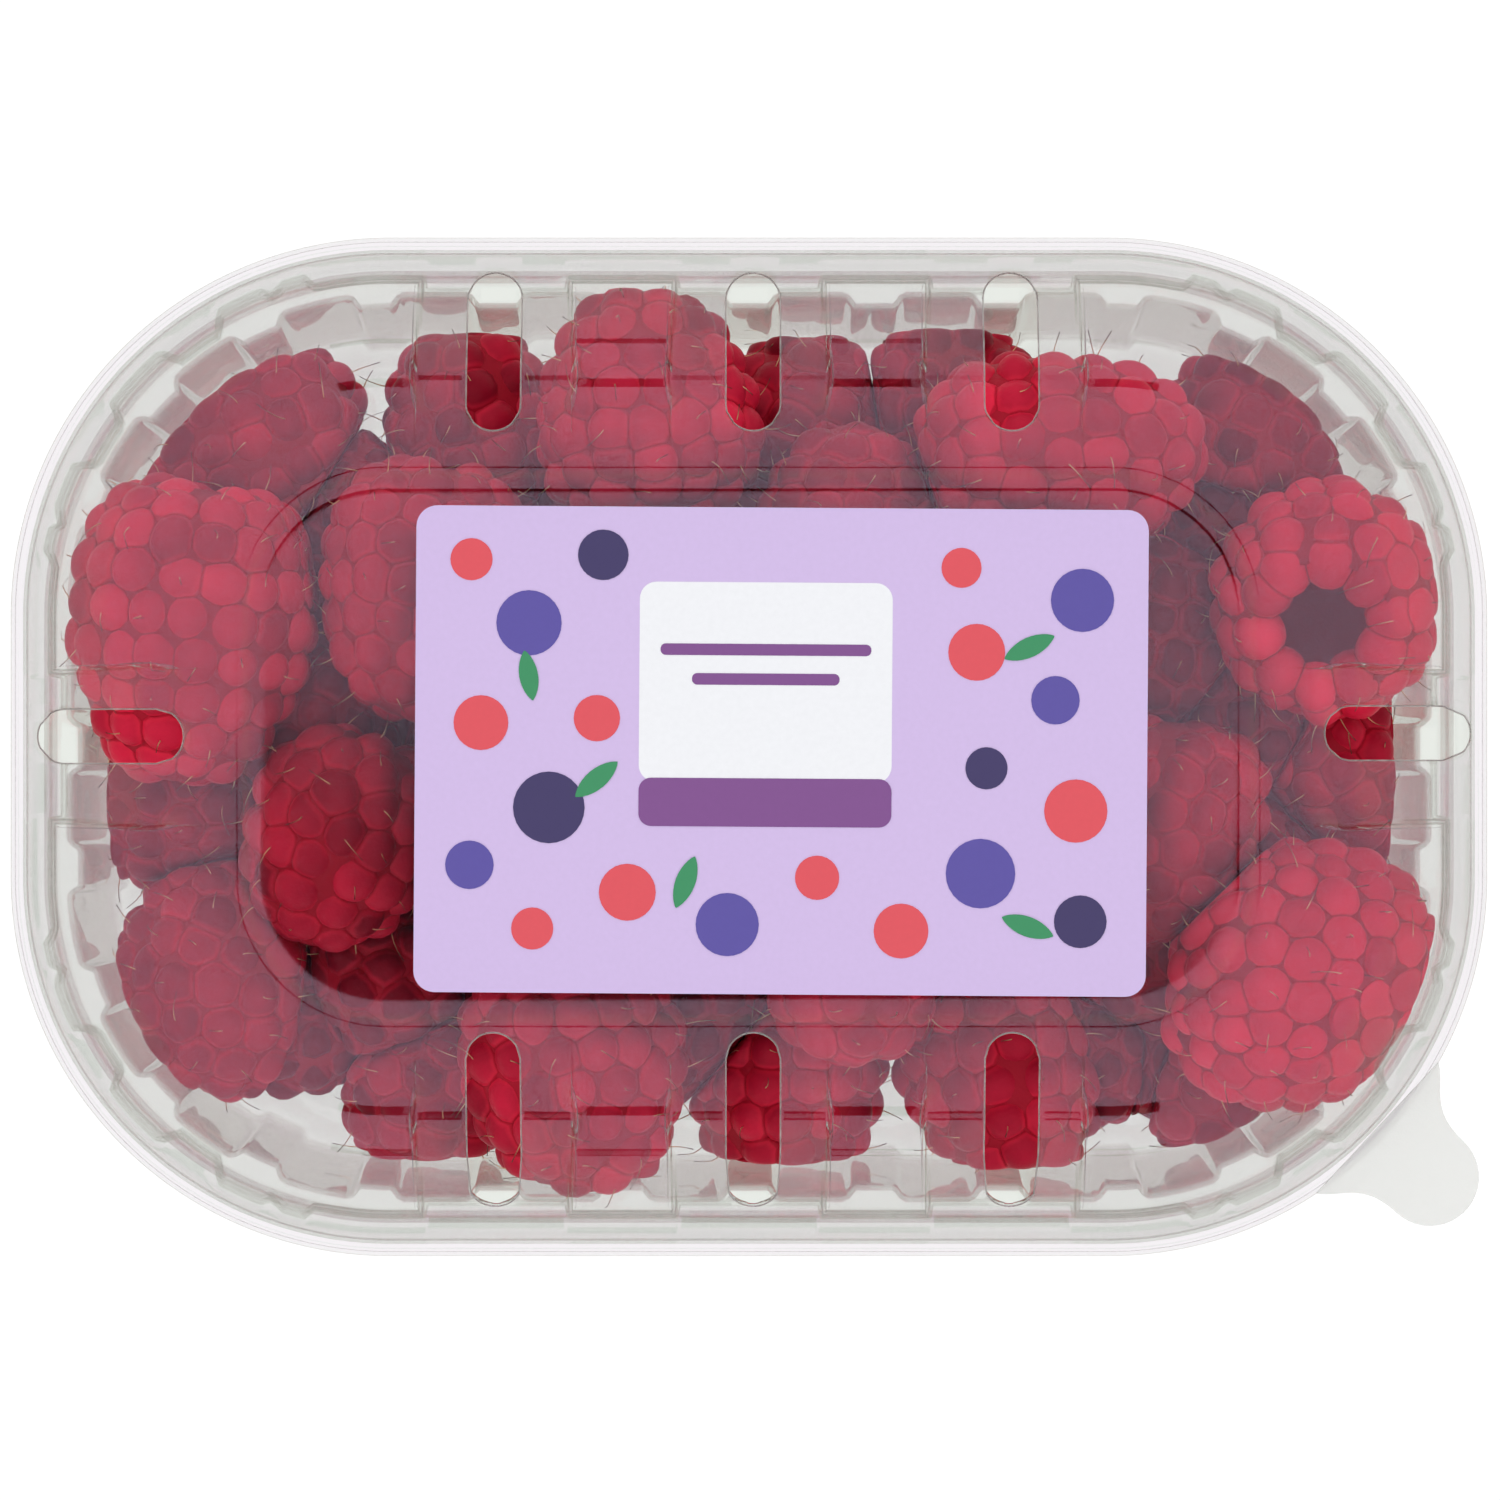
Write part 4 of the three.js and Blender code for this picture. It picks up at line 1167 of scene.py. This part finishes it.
# %% Hairs
HAIR_SHARE = 0.75
HAIR_LENGTH = (1.4, 3.3)
HAIR_RADIUS = 0.07
TAPER = np.array([1.0, 0.95, 0.85, 0.75, 0.65, 0.8])     # of the radius, from root to end
SIDES = 3
LOWEST_TURN, LOWEST_ROOT = -0.35, 9      # hairs that look down or lie low are left out
ROOT_DEPTH = 0.25
STRAW, BURNT_BROWN = colour("d9a57c"), colour("3f1a10")


def make_hair_material():
    """Straw at the root and burnt brown at the end, by a smooth step of the share along."""
    material, tree, out = new_material("dried_style")
    along = add(tree, "Attribute", {"attribute_name": "along"}).outputs["Fac"]
    dark = add(tree, "MapRange", {"interpolation_type": "SMOOTHSTEP"}, Value=along,
               From_Min=0.3, From_Max=0.95)
    tone = add(tree, "Mix", {"data_type": "RGBA"}, Factor=dark.outputs[0], A=STRAW,
               B=BURNT_BROWN)
    skin = add(tree, "BsdfPrincipled", Base_Color=tone.outputs["Result"], Roughness=0.6)
    tree.links.new(skin.outputs[0], out.inputs["Surface"])
    return material


def make_hairs():
    """A hair's path is root + t length first + t^2 curl length bend: it sets off in one
    direction, near the drupelet's own, and bends off to one at right angles."""
    roots = np.concatenate([tips for tips, _ in hair_roots])
    out = np.concatenate([normals for _, normals in hair_roots])
    keep = rng.random(len(roots)) < HAIR_SHARE
    keep &= (out[:, 2] > LOWEST_TURN) & (roots[:, 2] > LOWEST_ROOT)
    roots, out = roots[keep], out[keep]
    count = len(roots)
    first = out + rng.normal(0, 0.75, (count, 3)) * 0.8
    first /= np.linalg.norm(first, axis=1, keepdims=True)
    bend = np.cross(first, rng.normal(0, 1, (count, 3)))
    bend /= np.linalg.norm(bend, axis=1, keepdims=True)
    length = rng.uniform(*HAIR_LENGTH, count)
    curl = rng.uniform(0.1, 0.75, count)
    t = np.linspace(0.0, 1.0, len(TAPER))
    path = (roots[:, None] - out[:, None] * ROOT_DEPTH
            + first[:, None] * (t * length[:, None])[..., None]
            + bend[:, None] * (t**2 * (curl * length)[:, None])[..., None])
    flat = path.reshape(-1, 3)
    flat[:, 2] = soft_limit(flat[:, 2], ROOM_Z[-1] + 0.2, 0.1)
    inset, in_x, in_y = inset_of(flat[:, 0], flat[:, 1])
    wall = np.interp(flat[:, 2], ROOM_Z, ROOM_INSET) + 0.1
    push = np.maximum(wall - inset, 0.0)
    flat[:, 0] += in_x * push
    flat[:, 1] += in_y * push
    path = flat.reshape(path.shape)
    turn = around(SIDES)[:, None]
    across = np.cross(first, bend)
    ring = np.cos(turn) * bend[:, None, None] + np.sin(turn) * across[:, None, None]
    points = path[:, :, None] + ring * (HAIR_RADIUS * TAPER)[:, None, None]
    end = SIDES * (len(TAPER) - 1)
    caps = np.array([[2, 1, 0, -1], [end, end + 1, end + 2, -1]])
    faces = many(points[0].reshape(-1, 3), np.concatenate([grid_faces(len(TAPER), SIDES), caps]),
                 count)
    hairs = new_piece("berry_hairs", points.reshape(-1, 3), faces, make_hair_material(),
                      "raspberry", "raspberries")
    store(hairs, "along", np.tile(np.repeat(t, SIDES), count))


make_hairs()

# %% [markdown]
# ## The camera, the floor and the studio
#
# The pack lies on a white light table and is looked at from straight above, through a long lens.
# Soft white light comes from all around, apart from a dark gap overhead, where the camera is.

# %% Camera
PHOTO_PIXELS = 1500.0
PIXELS_PER_MM = 10.42               # at the height of the rim
CAMERA_HEIGHT = 830.0               # above the rim
VIEW_X, VIEW_Y = 0.1, -0.3
SENSOR = 36.0

camera_data = bpy.data.cameras.new("camera")
camera_data.sensor_width = SENSOR
camera_data.lens = SENSOR * CAMERA_HEIGHT / (PHOTO_PIXELS / PIXELS_PER_MM)
camera = bpy.data.objects.new("camera", camera_data)
camera.location = Vector((VIEW_X, VIEW_Y, FLANGE_TOP + CAMERA_HEIGHT)) * MM
scene.collection.objects.link(camera)
scene.camera = camera
print(f"lens {camera_data.lens:.0f} mm")

# %% Floor
FLOOR_GLOW = 0.97
FLOOR_HALF = 3.0                    # in metres
FLOOR_DROP = 0.02                   # in millimetres, so that it doesn't touch the tray
WHITE_LIGHT = colour("ffffff")


def make_floor():
    """A square that glows white, over a dark and slightly mottled ground."""
    material, tree, out = new_material("white_light_table")
    place = add(tree, "TexCoord").outputs["Object"]
    mottle = add(tree, "TexNoise", Vector=place, Scale=4.0, Detail=1.0)
    tone = add(tree, "MapRange", Value=mottle.outputs[0], To_Min=0.075, To_Max=0.085)
    skin = add(tree, "BsdfPrincipled", Base_Color=tone.outputs[0], Roughness=0.9,
               Emission_Color=WHITE_LIGHT, Emission_Strength=FLOOR_GLOW)
    tree.links.new(skin.outputs[0], out.inputs["Surface"])
    mesh = bpy.data.meshes.new("floor")
    corners = [(x * FLOOR_HALF, y * FLOOR_HALF, 0) for x, y in ((-1, -1), (1, -1), (1, 1), (-1, 1))]
    mesh.from_pydata(corners, [], [(0, 1, 2, 3)])
    mesh.materials.append(material)
    floor = bpy.data.objects.new("floor", mesh)
    floor.location.z = -FLOOR_DROP * MM
    scene.collection.objects.link(floor)
    print("floor", 2 * FLOOR_HALF, "m wide")


make_floor()

# %% Studio light
SKY, GAP_LIGHT = 1.1, 0.03
GAP_TURN = np.radians(14.0)         # the gap is a long box, askew over the pack
GAP_MIDDLE = (0.0, -0.062)          # in the sky's direction, along and across the box
GAP_HALF = (0.10, 0.053)
GAP_SOFT = 0.014


def make_sky():
    """White all round. The direction is turned by the gap's angle, and a product of two smooth
    steps, of the distances along and across it, gives the dark gap."""
    world = bpy.data.worlds.new("studio")
    world.use_nodes = True
    tree = world.node_tree
    tree.nodes.clear()
    direction = add(tree, "TexCoord").outputs["Generated"]
    turned = add(tree, "VectorRotate", {"rotation_type": "Z_AXIS"}, Vector=direction,
                 Angle=GAP_TURN)
    parts = add(tree, "SeparateXYZ", Vector=turned.outputs[0])
    inside = []
    for k, axis in enumerate("XY"):
        away = add(tree, "Math", {"operation": "SUBTRACT"}, at_0=parts.outputs[axis],
                   at_1=GAP_MIDDLE[k])
        away = add(tree, "Math", {"operation": "ABSOLUTE"}, at_0=away.outputs[0])
        step = add(tree, "MapRange", {"interpolation_type": "SMOOTHSTEP"}, Value=away.outputs[0],
                   From_Min=GAP_HALF[k] + GAP_SOFT, From_Max=GAP_HALF[k] - GAP_SOFT)
        inside.append(step.outputs[0])
    above = add(tree, "Math", {"operation": "GREATER_THAN"}, at_0=parts.outputs["Z"], at_1=0.0)
    gap = add(tree, "Math", {"operation": "MULTIPLY"}, at_0=inside[0], at_1=inside[1])
    gap = add(tree, "Math", {"operation": "MULTIPLY"}, at_0=gap.outputs[0], at_1=above.outputs[0])
    strength = add(tree, "MapRange", Value=gap.outputs[0], To_Min=SKY, To_Max=GAP_LIGHT)
    sky = add(tree, "Background", Color=WHITE_LIGHT, Strength=strength.outputs[0])
    out = tree.nodes.new("ShaderNodeOutputWorld")
    tree.links.new(sky.outputs[0], out.inputs["Surface"])
    world.cycles.sampling_method = "NONE"
    scene.world = world
    print("sky", SKY, "and", GAP_LIGHT, "in the gap")


make_sky()

# %% [markdown]
# Seen from low down, light passes a lot of film on its way, so it may go through many clear
# faces. It bounces little otherwise, and reflective caustics are off, which keeps the render
# quick and clean. The Standard view keeps the studio's white a pure white.

# %% Light paths and view
scene.view_settings.view_transform = "Standard"
scene.cycles.adaptive_threshold = 0.3
scene.cycles.caustics_reflective = False
scene.cycles.max_bounces = 4
scene.cycles.diffuse_bounces = 2
scene.cycles.glossy_bounces = 2
scene.cycles.transparent_max_bounces = 24
